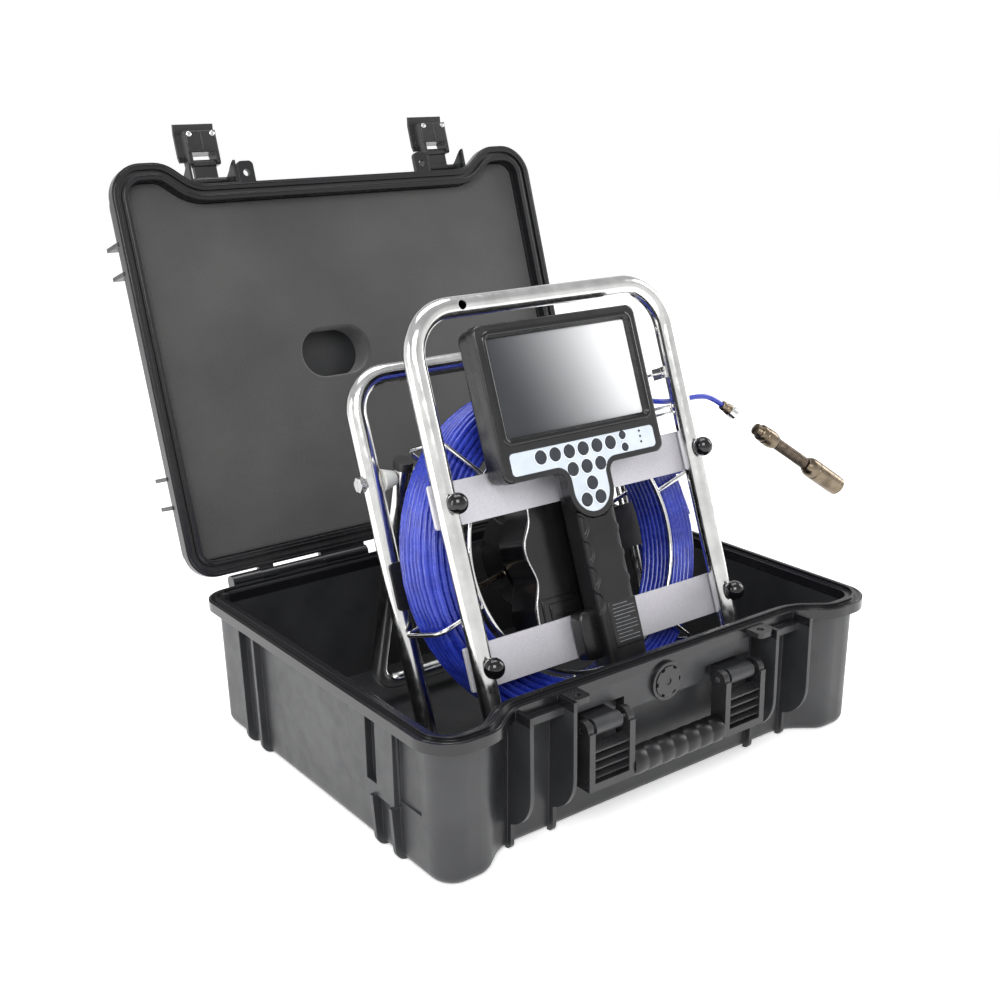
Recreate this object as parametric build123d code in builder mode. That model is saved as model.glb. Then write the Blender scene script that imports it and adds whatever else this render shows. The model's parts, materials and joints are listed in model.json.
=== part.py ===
"""Pipe inspection camera: an open waterproof case with a lean-back rack that carries a push rod
reel, a hand-held monitor and a camera head drawn off the end of the rod.

Frame: origin under the middle of the case, +X to the right seen from the front, -Y to the front,
+Z up. Millimetres.
"""
import os
from math import cos, pi, radians, sin, tan

from build123d import *

os.makedirs("parts", exist_ok=True)

# ---- case -------------------------------------------------------------------------------------
CASE_W = 510.0          # rim, outside
CASE_D = 413.0          # rim, outside, at the corner blocks
CASE_H = 132.0          # underside to the parting plane
RIM_H = 9.6             # height of the rim flange
RIM_IN = 16.5           # rim edge to the inner wall
FLOOR = 5.0             # thickness of the floor
FRONT_MID = 182.7       # rim front between the corner blocks, from the middle of the case
JOG_OUT = 196.0         # where the corner block starts to step back
JOG_IN = 166.0          # where the step ends
TAPER = 1.17            # draft of the base walls, degrees
FOOT_IN = 12.5          # base wall inset at the foot
SIDES = (-1, 1)
FIN_X = (119.0, 163.5)  # latch fins, either side of the middle
FIN_FRONT = -203.5
FIN_T = 3.5
RIB_Y = (-131.0, -102.0, 102.0, 131.0)
RIB_T = 4.0
CATCH_X = 141.25        # middle of the two fins
EYE_X = 108.0
EYE_Y = 191.8           # padlock eye from the middle of the case
EYE_R = 3.5

# ---- hinge and lid ----------------------------------------------------------------------------
HINGE_Y = CASE_D / 2 + 9.4
HINGE_Z = CASE_H
HINGE_R = 6.5
PIN_R = 2.0
RUNNING = 0.05          # radial clearance of a running fit
LID_ANGLE = 107.3       # lid opening, degrees from closed
LID_D = 50.0            # depth of the lid
LID_OPEN = radians(LID_ANGLE)
LID_UP = Vector(0, -cos(LID_OPEN), sin(LID_OPEN))
LID_IN = Vector(0, -sin(LID_OPEN), -cos(LID_OPEN))
LID_MID = Vector(0, HINGE_Y, HINGE_Z) + LID_UP * HINGE_Y
FOAM_FACE = -13.0       # foam surface below the parting plane
LATCH_X = 143.0
LATCH_Y = 190.0         # latch pivot from the middle of the lid
LATCH_N = -22.0         # latch pivot behind the parting plane
LINK_L = 18.0           # latch pivot to lever pivot
LINK_X = 12.4           # half width of the link
EAR_X = 24.6            # latch ears, either side of the latch's middle
EAR_T = 2.6

# ---- carry handle and valve -------------------------------------------------------------------
HANDLE_Y = -193.0
HANDLE_Z = 97.0
ARM_X = (54.0, 104.0)   # inner and outer side of a handle arm
CHEEK_T = 6.0
HANDLE_PIN_R = 2.5
GRIP_Z = 52.0
VALVE_Z = 109.0

# ---- rack -------------------------------------------------------------------------------------
LEAN = 19.85            # rack leans back, degrees
RACK_Y = -104.7
RACK_Z = 150.0
RACK_UP = Vector(0, sin(radians(LEAN)), cos(radians(LEAN)))
RACK_OUT = Vector(0, -cos(radians(LEAN)), sin(radians(LEAN)))
TUBE_R = 9.5
TUBE_WALL = 1.5
FRONT_X = 142.6         # front frame leg
FRONT_TOP = 288.9
FRONT_BEND = 44.0
REAR_X = 145.0
REAR_TOP = 253.8
REAR_BEND = 35.0
REAR_W = -111.3         # rear frame plane behind the front frame plane
RAIL_TOP = 26.0
RAIL_LOW = 8.0
PLATE_W = -9.8          # front face of the cross plates
PLATE_T = 3.0
PLATE_X = 151.0
PLATE_S = (124.2, -16.4)    # middles of the two plates along the rack
PLATE_H = 38.4
KNOB_R = 9.2
KNOB_W = 17.3
STUD_R = 3.0

# ---- reel -------------------------------------------------------------------------------------
REEL_S = 61.0
CABLE_R = 2.6
COIL_OUT = 160.0
COIL_IN = 118.0
COIL_W = (-81.0, -31.0)
RING_R = 115.5
RING_W = -25.0
WIRE_R = 2.25
ARM_R = 166.0
ARM_W = (-84.5, -26.5)
ARM_BEND = 9.0
ARM_COUNT = 6
ARM_START = 15.0
HUB_R = 54.0
HUB_W = (-98.2, -68.0)
NOSE_R = 30.0
NOSE_W = -58.2
AXLE_R = 8.0

# ---- lead, guide and camera head --------------------------------------------------------------
LEAD_W = -19.0
LEAD_ROUTE = [          # in the lead's plane: across, up the rack
    (79.0, 198.9),
    (98.0, 188.0),
    (118.0, 178.5),
    (141.0, 173.6),
    (166.0, 172.9),
    (187.0, 172.8),
    (202.5, 169.3),
    (214.5, 159.9),
]
SLEEVE_L = 10.0         # sleeve round the lead where it leaves the reel
SLEEVE_R = 4.5
GUIDE_R = 1.75
GUIDE_BEND = 2.8
GUIDE_ROUTE = [         # in the lead's plane: from the right leg, down, out to the hook and back
    (FRONT_X - 6, 201.5),
    (64.0, 199.5),
    (52.0, 168.5),
    (147.5, 168.5),
    (147.5, 162.3),
    (104.0, 162.3),
]
CONNECTOR_L = 19.0
HEAD_GAP = 31.0         # connector mouth to the head's rear ring
HEAD_RING_L = 6.5
HEAD_COLLAR_L = 24.0
HEAD_SPRING_L = 47.0
HEAD_BODY_L = 51.5

# ---- monitor ----------------------------------------------------------------------------------
BEZEL_X = 92.3
BEZEL_S = (129.5, 268.0)
BEZEL_W = (8.0, 20.0)
BACK_W = -9.2
SCREEN_X = 79.0
SCREEN_S = (167.5, 255.5)
SCREEN_W = 14.0         # back of the display
PANEL_T = 1.4
PANEL_S = (134.8, 154.8)
PANEL_X = 83.0
LOBE_X = -2.0           # middle of the keypad's lower lobe
LOBE_R = 20.0
LOBE_S = 110.0
KEY_R = 5.9
KEY_GAP = 0.35
KEY_PITCH = 16.0
SMALL_KEY_R = 3.6
KEY_W = (16.5, 21.0)
GRIP_S = (-48.0, 108.0)
GRIP_X = 0.5
GRIP_WIDE = 43.0

# ---- kickstand --------------------------------------------------------------------------------
KICK_S = 157.9
KICK_X = 112.5
KICK_R = 8.5
KICK_L = 243.0
KICK_SWING = 15.1       # degrees from plumb, foot to the rear
KICK_BEND = 25.0
KICK_TOP = 14.0
BOLT_R = 4.0


def rack_point(x, s, w):
    """Point given across (x), up (s) and out of (w) the front frame's plane."""
    return Vector(x, RACK_Y, RACK_Z) + RACK_UP * s + RACK_OUT * w


def rack_plane(w):
    """Plane parallel to the front frame, w in front of it: local x across, y up the rack."""
    return Plane(origin=rack_point(0, 0, w), x_dir=(1, 0, 0), z_dir=RACK_OUT)


def rack_section(s):
    """Plane square to the rack's legs at height s: local x across, y to the rear."""
    return Plane(origin=rack_point(0, s, 0), x_dir=(1, 0, 0), z_dir=RACK_UP)


def lid_plane(n):
    """Plane parallel to the lid's parting plane, n inside it: local y runs to the latch side."""
    return Plane(origin=LID_MID + LID_IN * n, x_dir=(1, 0, 0), z_dir=LID_IN)


def side_plane(x):
    """Upright plane across X at x: local x is +Y, local y is +Z."""
    return Plane.YZ.offset(x)


def case_outline(inset, front):
    """Plan of the rim, inset from its edge; the front middle is set back between corner blocks."""
    half_w = CASE_W / 2
    half_d = CASE_D / 2
    corners = [
        (half_w, -front * half_d, 28),
        (half_w, front * half_d, 34),
        (JOG_OUT, front * half_d, 36),
        (JOG_IN, front * FRONT_MID, 36),
        (-JOG_IN, front * FRONT_MID, 36),
        (-JOG_OUT, front * half_d, 36),
        (-half_w, front * half_d, 34),
        (-half_w, -front * half_d, 28),
    ]
    with BuildSketch(mode=Mode.PRIVATE) as outline:
        with BuildLine():
            FilletPolyline(*[(x, y) for x, y, _ in corners], radius=[r for _, _, r in corners], close=True)
        make_face()
        if inset:
            offset(amount=-inset, mode=Mode.REPLACE)
    return outline.sketch


def keypad_outline(grow):
    """T-shaped keypad: a wide band with a round-ended lobe below it."""
    with BuildSketch(mode=Mode.PRIVATE) as outline:
        with Locations((0, (PANEL_S[0] + PANEL_S[1]) / 2)):
            RectangleRounded(2 * (PANEL_X + grow), PANEL_S[1] - PANEL_S[0] + 2 * grow, 4 + grow)
        with Locations((LOBE_X, (LOBE_S + PANEL_S[0] + 6) / 2)):
            Rectangle(2 * (LOBE_R + grow), PANEL_S[0] + 6 - LOBE_S)
        with Locations((LOBE_X, LOBE_S)):
            Circle(LOBE_R + grow)
        low = PANEL_S[0] - grow
        corners = outline.vertices().filter_by_position(Axis.Y, low - 0.5, low + 0.5)
        inner = corners.filter_by_position(Axis.X, -40, 40)
        fillet(inner, radius=14 - grow)
    return outline.sketch


def lid_profile(points):
    """Flat profile in an upright plane across X, its corners given along the lid and into it."""
    corners = [LID_MID + LID_UP * along + LID_IN * inward for along, inward in points]
    with BuildSketch(mode=Mode.PRIVATE) as profile:
        with BuildLine():
            Polyline(*[(corner.Y, corner.Z) for corner in corners], close=True)
        make_face()
    return profile.sketch


# latch ear: tall at the parting plane, curved down to the lid's back; (along the lid, into it)
EAR_PROFILE = (
    (168, -2.5),
    (206, -2.5),
    (205, -6),
    (202, -11),
    (198, -16),
    (194.5, -22),
    (190, -26.5),
    (180, -28),
    (168, -32),
)

# ================================================================ case base
with BuildPart() as case_base:
    with BuildSketch(Plane.XY):
        add(case_outline(FOOT_IN, -1))
    extrude(amount=CASE_H - RIM_H, taper=-TAPER)
    fillet(case_base.faces().sort_by(Axis.Z)[0].edges(), radius=10)
    with BuildSketch(Plane.XY.offset(CASE_H - RIM_H)):
        add(case_outline(0, -1))
    extrude(amount=RIM_H)
    with BuildSketch(Plane.XY.offset(CASE_H)):
        add(case_outline(7, -1))
        add(case_outline(10, -1), mode=Mode.SUBTRACT)
    extrude(amount=3)
    # latch fins and the ribs that carry them down to the foot
    for side in SIDES:
        for x in FIN_X:
            with BuildSketch(side_plane(side * x)):
                with BuildLine():
                    Polyline((-168, 24), (-168, 131), (FIN_FRONT, 131), (FIN_FRONT, 62))
                    TangentArc((FIN_FRONT, 62), (-168, 24), tangent=(0, -1))
                make_face()
            extrude(amount=FIN_T / 2, both=True)
            with BuildSketch(side_plane(side * x)):
                with BuildLine():
                    Polyline((-168, 0.6), (-168, 32), (-176.5, 32), (-176.5, 8))
                    TangentArc((-176.5, 8), (-168, 0.6), tangent=(0, -1))
                make_face()
            extrude(amount=FIN_T / 2, both=True)
        # catch for the latch hook, between the fins
        with Locations((side * CATCH_X, -180, 119.3)):
            Box(FIN_X[1] - FIN_X[0], 20, 6.6)
        # side ribs; the front pair only below the raised panel
        for y in RIB_Y:
            top = 50 if y < 0 else 122.6
            with BuildSketch(Plane.XZ.offset(-y)):
                with BuildLine():
                    Polyline((side * 238, 0.8), (side * 238, top), (side * 252, top), (side * 249.5, 12))
                    TangentArc((side * 249.5, 12), (side * 238, 0.8), tangent=(0, -1))
                make_face()
            extrude(amount=RIB_T / 2, both=True)
        # raised panel with its upright slot, and the recess beside the corner column
        with Locations((side * 244.5, -99, 86.5)):
            Box(8, 66, 73)
        with Locations((side * 247.5, -98.5, 91.5)):
            Box(11, 15, 62, mode=Mode.SUBTRACT)
        with Locations((side * 247, -149, 88)):
            Box(10, 31, 64, mode=Mode.SUBTRACT)
        # handle boss
        with Locations((side * (ARM_X[0] + ARM_X[1]) / 2, (HANDLE_Y - 168) / 2, HANDLE_Z)):
            Box(28.8, -168 - HANDLE_Y, 12)
        with BuildSketch(side_plane(side * (ARM_X[0] + ARM_X[1]) / 2)):
            with Locations((HANDLE_Y, HANDLE_Z)):
                Circle(7.5)
        extrude(amount=14.4, both=True)
        # hinge knuckle, and the round-backed guard beside it
        for x_low, x_high, radius in ((112.5, 166.5, HINGE_R), (183.5, 216, 7.5)):
            with BuildSketch(side_plane(side * (x_low + x_high) / 2)):
                with Locations((HINGE_Y, HINGE_Z)):
                    Circle(radius)
                with Locations((HINGE_Y - 6, HINGE_Z - 3.4)):
                    Rectangle(12, 6.2)
            extrude(amount=(x_high - x_low) / 2, both=True)
    # apron under the rim, stepped up where the handle arms hang
    with Locations((0, -176.5, 115.5)):
        Box(2 * ARM_X[1], 12.4, 15)
    with Locations((0, -176.5, 101)):
        Box(96, 12.4, 14)
    # inside of the case
    with BuildSketch(Plane.XY.offset(FLOOR)):
        add(case_outline(RIM_IN, -1))
    extrude(amount=CASE_H, mode=Mode.SUBTRACT)
    # bores: handle pins, hinge pins and the valve
    for side in SIDES:
        with Locations(Location((side * (ARM_X[0] + ARM_X[1]) / 2, HANDLE_Y, HANDLE_Z), (0, 90, 0))):
            Cylinder(HANDLE_PIN_R, 40, mode=Mode.SUBTRACT)
        with Locations(Location((side * 138, HINGE_Y, HINGE_Z), (0, 90, 0))):
            Cylinder(PIN_R, 100, mode=Mode.SUBTRACT)
    with Locations(Location((0, -175, VALVE_Z), (90, 0, 0))):
        Cylinder(8, 30, mode=Mode.SUBTRACT)
case_base.part.label = "case_base"
export_step(case_base.part, "parts/case_base.step")

with BuildPart() as padlock_eyes:
    # tabs on the rim's front edge
    for side in SIDES:
        with BuildSketch(Plane.XY.offset(126)):
            with Locations((side * EYE_X, -FRONT_MID - 9)):
                Rectangle(18, 18)
        extrude(amount=5)
    fillet(padlock_eyes.edges().filter_by(Axis.Z).group_by(Axis.Y)[0], radius=5)
    for side in SIDES:
        with Locations((side * EYE_X, -EYE_Y, 128.5)):
            Cylinder(EYE_R, 8, mode=Mode.SUBTRACT)
padlock_eyes.part.label = "padlock_eyes"
export_step(padlock_eyes.part, "parts/padlock_eyes.step")

with BuildPart() as case_pins:
    # hinge pins at the rear, handle pins at the front
    for side in SIDES:
        with Locations(Location((side * 122, HINGE_Y, HINGE_Z), (0, 90, 0))):
            Cylinder(PIN_R, 124)
        with Locations(Location((side * (ARM_X[0] + ARM_X[1]) / 2, HANDLE_Y, HANDLE_Z), (0, 90, 0))):
            Cylinder(HANDLE_PIN_R, ARM_X[1] - ARM_X[0] - 0.4)
case_pins.part.label = "case_pins"
export_step(case_pins.part, "parts/case_pins.step")

# ================================================================ pressure valve
with BuildPart() as valve_body:
    with BuildSketch(Plane.XZ.offset(FRONT_MID)):
        with Locations((0, VALVE_Z)):
            Circle(17.5)
            Circle(14.6, mode=Mode.SUBTRACT)
    extrude(amount=3.4)
    with BuildSketch(Plane.XZ.offset(FRONT_MID)):
        with Locations((0, VALVE_Z)):
            Circle(17.5)
    extrude(amount=0.8)
    with BuildSketch(Plane.XZ.offset(FRONT_MID)):
        with Locations((0, VALVE_Z)):
            Circle(3)
    extrude(amount=3.4)
    with BuildSketch(Plane.XZ.offset(FRONT_MID)):
        with Locations((0, VALVE_Z)):
            Circle(7.9)
    extrude(amount=-24)
    with BuildSketch(Plane.XZ.offset(FRONT_MID - 17)):
        with Locations((0, VALVE_Z)):
            RegularPolygon(14, 6)
    extrude(amount=-6)
valve_body.part.label = "valve_body"
export_step(valve_body.part, "parts/valve_body.step")

with BuildPart() as valve_knob:
    with BuildSketch(Plane.XZ.offset(FRONT_MID + 1.1)):
        with Locations((0, VALVE_Z)):
            Circle(14.2)
            Circle(3 + RUNNING, mode=Mode.SUBTRACT)
            with PolarLocations(13.6, 6):
                Rectangle(3, 4, mode=Mode.SUBTRACT)
    extrude(amount=3.2)
valve_knob.part.label = "valve_knob"
export_step(valve_knob.part, "parts/valve_knob.step")

# ================================================================ lid
with BuildPart() as lid_shell:
    with BuildSketch(lid_plane(-LID_D)):
        add(case_outline(12.1, 1))
    extrude(amount=LID_D - RIM_H, taper=-3)
    fillet(lid_shell.faces().sort_by(Axis((0, 0, 0), LID_IN))[0].edges(), radius=9)
    with BuildSketch(lid_plane(-RIM_H)):
        add(case_outline(0, 1))
    extrude(amount=RIM_H)
    for side in SIDES:
        # ribs down the sides
        for y in RIB_Y:
            with BuildSketch(lid_plane(-40)):
                with Locations((side * 247, -y)):
                    Rectangle(18, RIB_T)
            extrude(amount=40 - RIM_H)
        # latch ears, padlock eye and hinge knuckles
        for ear in (-EAR_X, EAR_X):
            with BuildSketch(side_plane(side * LATCH_X + ear)):
                add(lid_profile(EAR_PROFILE))
            extrude(amount=EAR_T / 2, both=True)
        with BuildSketch(lid_plane(-5)):
            with Locations((side * EYE_X, 190)):
                RectangleRounded(18, 28, 5)
        extrude(amount=5)
        for x_low, x_high in ((59.5, 112.1), (166.9, 183.1)):
            with BuildSketch(side_plane(side * (x_low + x_high) / 2)):
                with Locations((HINGE_Y, HINGE_Z)):
                    Circle(HINGE_R)
                lug = ((-HINGE_Y, -6.3), (-HINGE_Y, -0.3), (12 - HINGE_Y, -0.3), (12 - HINGE_Y, -6.3))
                add(lid_profile(lug))
            extrude(amount=(x_high - x_low) / 2, both=True)
    # inside of the lid and the seal groove
    with BuildSketch(lid_plane(4 - LID_D)):
        add(case_outline(RIM_IN, 1))
    extrude(amount=LID_D, mode=Mode.SUBTRACT)
    with BuildSketch(lid_plane(-5)):
        add(case_outline(6.4, 1))
        add(case_outline(10.6, 1), mode=Mode.SUBTRACT)
    extrude(amount=6, mode=Mode.SUBTRACT)
    for side in SIDES:
        with BuildSketch(lid_plane(-6)):
            with Locations((side * EYE_X, EYE_Y)):
                Circle(EYE_R)
        extrude(amount=8, mode=Mode.SUBTRACT)
        with Locations(Location((side * 122, HINGE_Y, HINGE_Z), (0, 90, 0))):
            Cylinder(PIN_R + RUNNING, 140, mode=Mode.SUBTRACT)
        latch_axis = LID_MID + LID_UP * LATCH_Y + LID_IN * LATCH_N
        with Locations(Location((side * LATCH_X, latch_axis.Y, latch_axis.Z), (0, 90, 0))):
            Cylinder(PIN_R, 2 * EAR_X + EAR_T, mode=Mode.SUBTRACT)
lid_shell.part.label = "lid_shell"
export_step(lid_shell.part, "parts/lid_shell.step")

with BuildPart() as lid_gasket:
    with BuildSketch(lid_plane(-5)):
        add(case_outline(6.5, 1))
        add(case_outline(10.5, 1), mode=Mode.SUBTRACT)
    extrude(amount=1.6)
lid_gasket.part.label = "lid_gasket"
export_step(lid_gasket.part, "parts/lid_gasket.step")

with BuildPart() as lid_foam:
    with BuildSketch(lid_plane(4.2 - LID_D)):
        add(case_outline(RIM_IN + 0.5, 1))
        with Locations((-38.7, -0.6)):
            SlotOverall(85, 55, mode=Mode.SUBTRACT)
    extrude(amount=LID_D - 4.2 + FOAM_FACE)
lid_foam.part.label = "lid_foam"
export_step(lid_foam.part, "parts/lid_foam.step")

with BuildPart() as latch_pins:
    for side in SIDES:
        with Locations(Location((side * LATCH_X, latch_axis.Y, latch_axis.Z), (0, 90, 0))):
            Cylinder(PIN_R, 2 * EAR_X + EAR_T)
latch_pins.part.label = "latch_pins"
export_step(latch_pins.part, "parts/latch_pins.step")


# ================================================================ latches
def lid_section(x):
    """Plane across X at x through the latch pivot: local x runs up the lid, y out of its back."""
    return Plane(origin=(x, latch_axis.Y, latch_axis.Z), x_dir=LID_UP, z_dir=(-1, 0, 0))


for side, name in zip(SIDES, ("left", "right")):
    latch_middle = lid_section(side * LATCH_X)
    with BuildPart() as latch_link:
        with BuildSketch(latch_middle):
            Circle(4.2)
            with Locations((LINK_L, 0)):
                Circle(4.2)
            with Locations((LINK_L / 2, 0)):
                Rectangle(LINK_L, 4.6)
        extrude(amount=LINK_X, both=True)
        # spacers that fill the room to the ears
        with BuildSketch(latch_middle):
            Circle(3.6)
        extrude(amount=EAR_X - EAR_T / 2 - 0.3, both=True)
        with BuildSketch(latch_middle):
            Circle(PIN_R + RUNNING)
            with Locations((LINK_L, 0)):
                Circle(PIN_R + RUNNING)
        extrude(amount=2 * LINK_X, both=True, mode=Mode.SUBTRACT)
    latch_link.part.label = f"latch_link_{name}"
    export_step(latch_link.part, f"parts/latch_link_{name}.step")

    with BuildPart() as latch_lever:
        # curved cover
        with BuildSketch(latch_middle):
            with BuildLine():
                Polyline(
                    (22, 7), (22, 10), (28, 12.2), (52, 12.2), (62, 9.5), (61, 6.7), (51, 9.2), (28, 9.2), close=True
                )
            make_face()
        extrude(amount=22, both=True)
        # inner block, with the slot that the link reaches into
        with BuildSketch(latch_middle):
            with Locations((33.5, 1.5)):
                Rectangle(35, 15)
        extrude(amount=17, both=True)
        fillet(latch_lever.edges().filter_by(Axis.X).group_by(Axis((0, 0, 0), LID_UP))[0], radius=3)
        with BuildSketch(latch_middle):
            with Locations((LINK_L + 1, 0)):
                Rectangle(19.5, 30)
        extrude(amount=LINK_X + 0.5, both=True, mode=Mode.SUBTRACT)
        with BuildSketch(latch_middle):
            with Locations((LINK_L, 0)):
                Circle(PIN_R)
        extrude(amount=15, both=True)
    latch_lever.part.label = f"latch_lever_{name}"
    export_step(latch_lever.part, f"parts/latch_lever_{name}.step")

# ================================================================ carry handle
with BuildPart() as handle_frame:
    for side in SIDES:
        for x in (ARM_X[0] + CHEEK_T / 2, ARM_X[1] - CHEEK_T / 2):
            with BuildSketch(side_plane(side * x)):
                with Locations((HANDLE_Y, HANDLE_Z)):
                    Circle(9)
                with Locations((-195, (GRIP_Z - 8 + HANDLE_Z) / 2)):
                    Rectangle(18, HANDLE_Z - GRIP_Z + 8)
            extrude(amount=CHEEK_T / 2, both=True)
        middle = side * (ARM_X[0] + ARM_X[1]) / 2
        for slat in range(4):
            with BuildSketch(side_plane(middle)):
                with Locations(Location((-198, 57 + 8 * slat), 25)):
                    Rectangle(10, 2.6)
            extrude(amount=19.5, both=True)
        with Locations((middle, -195, 47.5)):
            Box(40, 18, 7)
        with Locations(Location((middle, HANDLE_Y, HANDLE_Z), (0, 90, 0))):
            Cylinder(HANDLE_PIN_R + RUNNING, 60, mode=Mode.SUBTRACT)
    with Locations(Location((0, -195, GRIP_Z), (0, 90, 0))):
        Cylinder(7, 2 * ARM_X[0] + 4)
handle_frame.part.label = "handle_frame"
export_step(handle_frame.part, "parts/handle_frame.step")

with BuildPart() as handle_grip:
    with BuildSketch(side_plane(0)):
        with Locations((-195, GRIP_Z)):
            Circle(12)
            Circle(7, mode=Mode.SUBTRACT)
    extrude(amount=ARM_X[0] - 0.2, both=True)
handle_grip.part.label = "handle_grip"
export_step(handle_grip.part, "parts/handle_grip.step")

# ================================================================ rack frames
for name, leg_x, top_s, bend, w in (
    ("front_frame", FRONT_X, FRONT_TOP, FRONT_BEND, 0.0),
    ("rear_frame", REAR_X, REAR_TOP, REAR_BEND, REAR_W),
):
    with BuildPart() as frame:
        with BuildLine(rack_plane(w)):
            FilletPolyline((-leg_x, -250), (-leg_x, top_s), (leg_x, top_s), (leg_x, -250), radius=bend)
        with BuildSketch(Plane(origin=rack_point(-leg_x, -250, w), z_dir=RACK_UP)):
            Circle(TUBE_R)
            Circle(TUBE_R - TUBE_WALL, mode=Mode.SUBTRACT)
        sweep()
        # feet of the legs are cut level on the floor rails
        with Locations((0, 0, RAIL_TOP - 200)):
            Box(600, 600, 400, mode=Mode.SUBTRACT)
        if name == "front_frame":
            for side in SIDES:
                for plate_s in PLATE_S:
                    with BuildSketch(rack_plane(-20)):
                        with Locations((side * leg_x, plate_s)):
                            Circle(STUD_R + 0.1)
                    extrude(amount=40, mode=Mode.SUBTRACT)
                for hole_s in (147, 103):
                    with BuildSketch(side_plane(side * (leg_x - 4))):
                        hole = rack_point(0, hole_s, -3)
                        with Locations((hole.Y, hole.Z)):
                            Circle(3)
                    extrude(amount=-side * 8, mode=Mode.SUBTRACT)
            with BuildSketch(rack_plane(-20)):
                with Locations((-88.6, FRONT_TOP)):
                    Circle(4.2)
            extrude(amount=40, mode=Mode.SUBTRACT)
        else:
            for side in SIDES:
                pivot = rack_point(0, KICK_S, REAR_W)
                with Locations(Location((side * leg_x, pivot.Y, pivot.Z), (0, 90, 0))):
                    Cylinder(BOLT_R + 0.1, 40, mode=Mode.SUBTRACT)
    frame.part.label = name
    export_step(frame.part, f"parts/{name}.step")

FRONT_FOOT_Y = rack_point(0, (RAIL_TOP - RACK_Z) / RACK_UP.Z, 0).Y
REAR_FOOT_Y = FRONT_FOOT_Y - REAR_W / RACK_UP.Z
with BuildPart() as floor_rails:
    for side in SIDES:
        with BuildSketch(Plane.XY.offset(RAIL_LOW)):
            with Locations((side * (FRONT_X + REAR_X) / 2, (FRONT_FOOT_Y + REAR_FOOT_Y) / 2)):
                RectangleRounded(24, REAR_FOOT_Y - FRONT_FOOT_Y + 26, 8)
        extrude(amount=RAIL_TOP - RAIL_LOW)
floor_rails.part.label = "floor_rails"
export_step(floor_rails.part, "parts/floor_rails.step")

with BuildPart() as frame_feet:
    for side in SIDES:
        for y in (FRONT_FOOT_Y, REAR_FOOT_Y):
            with BuildSketch(Plane.XY.offset(FLOOR + 0.3)):
                with Locations((side * (FRONT_X + REAR_X) / 2, y)):
                    Circle(9)
            extrude(amount=RAIL_LOW - FLOOR - 0.3)
frame_feet.part.label = "frame_feet"
export_step(frame_feet.part, "parts/frame_feet.step")

# ================================================================ cross plates, studs and knobs
for name, plate_s in zip(("upper_plate", "lower_plate"), PLATE_S):
    with BuildPart() as plate:
        with BuildSketch(rack_plane(PLATE_W - PLATE_T)):
            with Locations((0, plate_s)):
                RectangleRounded(2 * PLATE_X, PLATE_H, 2)
            for side in SIDES:
                with Locations((side * FRONT_X, plate_s)):
                    Circle(STUD_R, mode=Mode.SUBTRACT)
        extrude(amount=PLATE_T)
    plate.part.label = name
    export_step(plate.part, f"parts/{name}.step")

with BuildPart() as plate_studs:
    for plate_s in PLATE_S:
        for side in SIDES:
            with BuildSketch(rack_plane(PLATE_W - PLATE_T)):
                with Locations((side * FRONT_X, plate_s)):
                    Circle(STUD_R)
            extrude(amount=KNOB_W - PLATE_W + PLATE_T)
            with BuildSketch(rack_plane(PLATE_W - PLATE_T)):
                with Locations((side * FRONT_X, plate_s)):
                    RegularPolygon(6, 6)
            extrude(amount=-4)
plate_studs.part.label = "plate_studs"
export_step(plate_studs.part, "parts/plate_studs.step")

for side, side_name in zip(SIDES, ("left", "right")):
    for plate_s, row in zip(PLATE_S, ("upper", "lower")):
        with BuildPart() as knob:
            with Locations(rack_point(side * FRONT_X, plate_s, KNOB_W)):
                Sphere(KNOB_R)
            with BuildSketch(rack_plane(TUBE_R + 0.4)):
                with Locations((side * FRONT_X, plate_s)):
                    Circle(5.5)
            extrude(amount=6)
            with BuildSketch(rack_plane(TUBE_R + 0.4)):
                with Locations((side * FRONT_X, plate_s)):
                    Rectangle(40, 40)
            extrude(amount=-20, mode=Mode.SUBTRACT)
            with BuildSketch(rack_plane(0)):
                with Locations((side * FRONT_X, plate_s)):
                    Circle(STUD_R + RUNNING)
            extrude(amount=KNOB_W + 0.4, mode=Mode.SUBTRACT)
        knob.part.label = f"knob_{row}_{side_name}"
        export_step(knob.part, f"parts/knob_{row}_{side_name}.step")

# ================================================================ reel bracket and electronics box
with BuildPart() as reel_bracket:
    with BuildSketch(rack_plane(REAR_W + TUBE_R)):
        with Locations((0, REEL_S)):
            RectangleRounded(2 * REAR_X + 16, 44, 4)
    extrude(amount=3)
    with BuildSketch(rack_plane(REAR_W + TUBE_R)):
        with Locations((0, REEL_S)):
            Circle(AXLE_R)
    extrude(amount=NOSE_W + 4 - REAR_W - TUBE_R)
    with BuildSketch(rack_plane(NOSE_W + 0.5)):
        with Locations((0, REEL_S)):
            Circle(13)
    extrude(amount=3.5)
reel_bracket.part.label = "reel_bracket"
export_step(reel_bracket.part, "parts/reel_bracket.step")

with BuildPart() as electronics_box:
    # waved left side
    with BuildSketch(rack_plane(-50)):
        with BuildLine():
            FilletPolyline(
                (18, 128), (-53, 128), (-53, 99), (-66, 76), (-66, 62),
                (-58, 42), (-68, 16), (-68, -24), (18, -24),
                radius=[8, 10, 16, 12, 14, 18, 8, 8, 8],
                close=True,
            )
        make_face()
    extrude(amount=50 + PLATE_W - PLATE_T)
    fillet(electronics_box.faces().sort_by(Axis((0, 0, 0), RACK_OUT))[-1].edges(), radius=1.2)
electronics_box.part.label = "electronics_box"
export_step(electronics_box.part, "parts/electronics_box.step")

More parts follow.
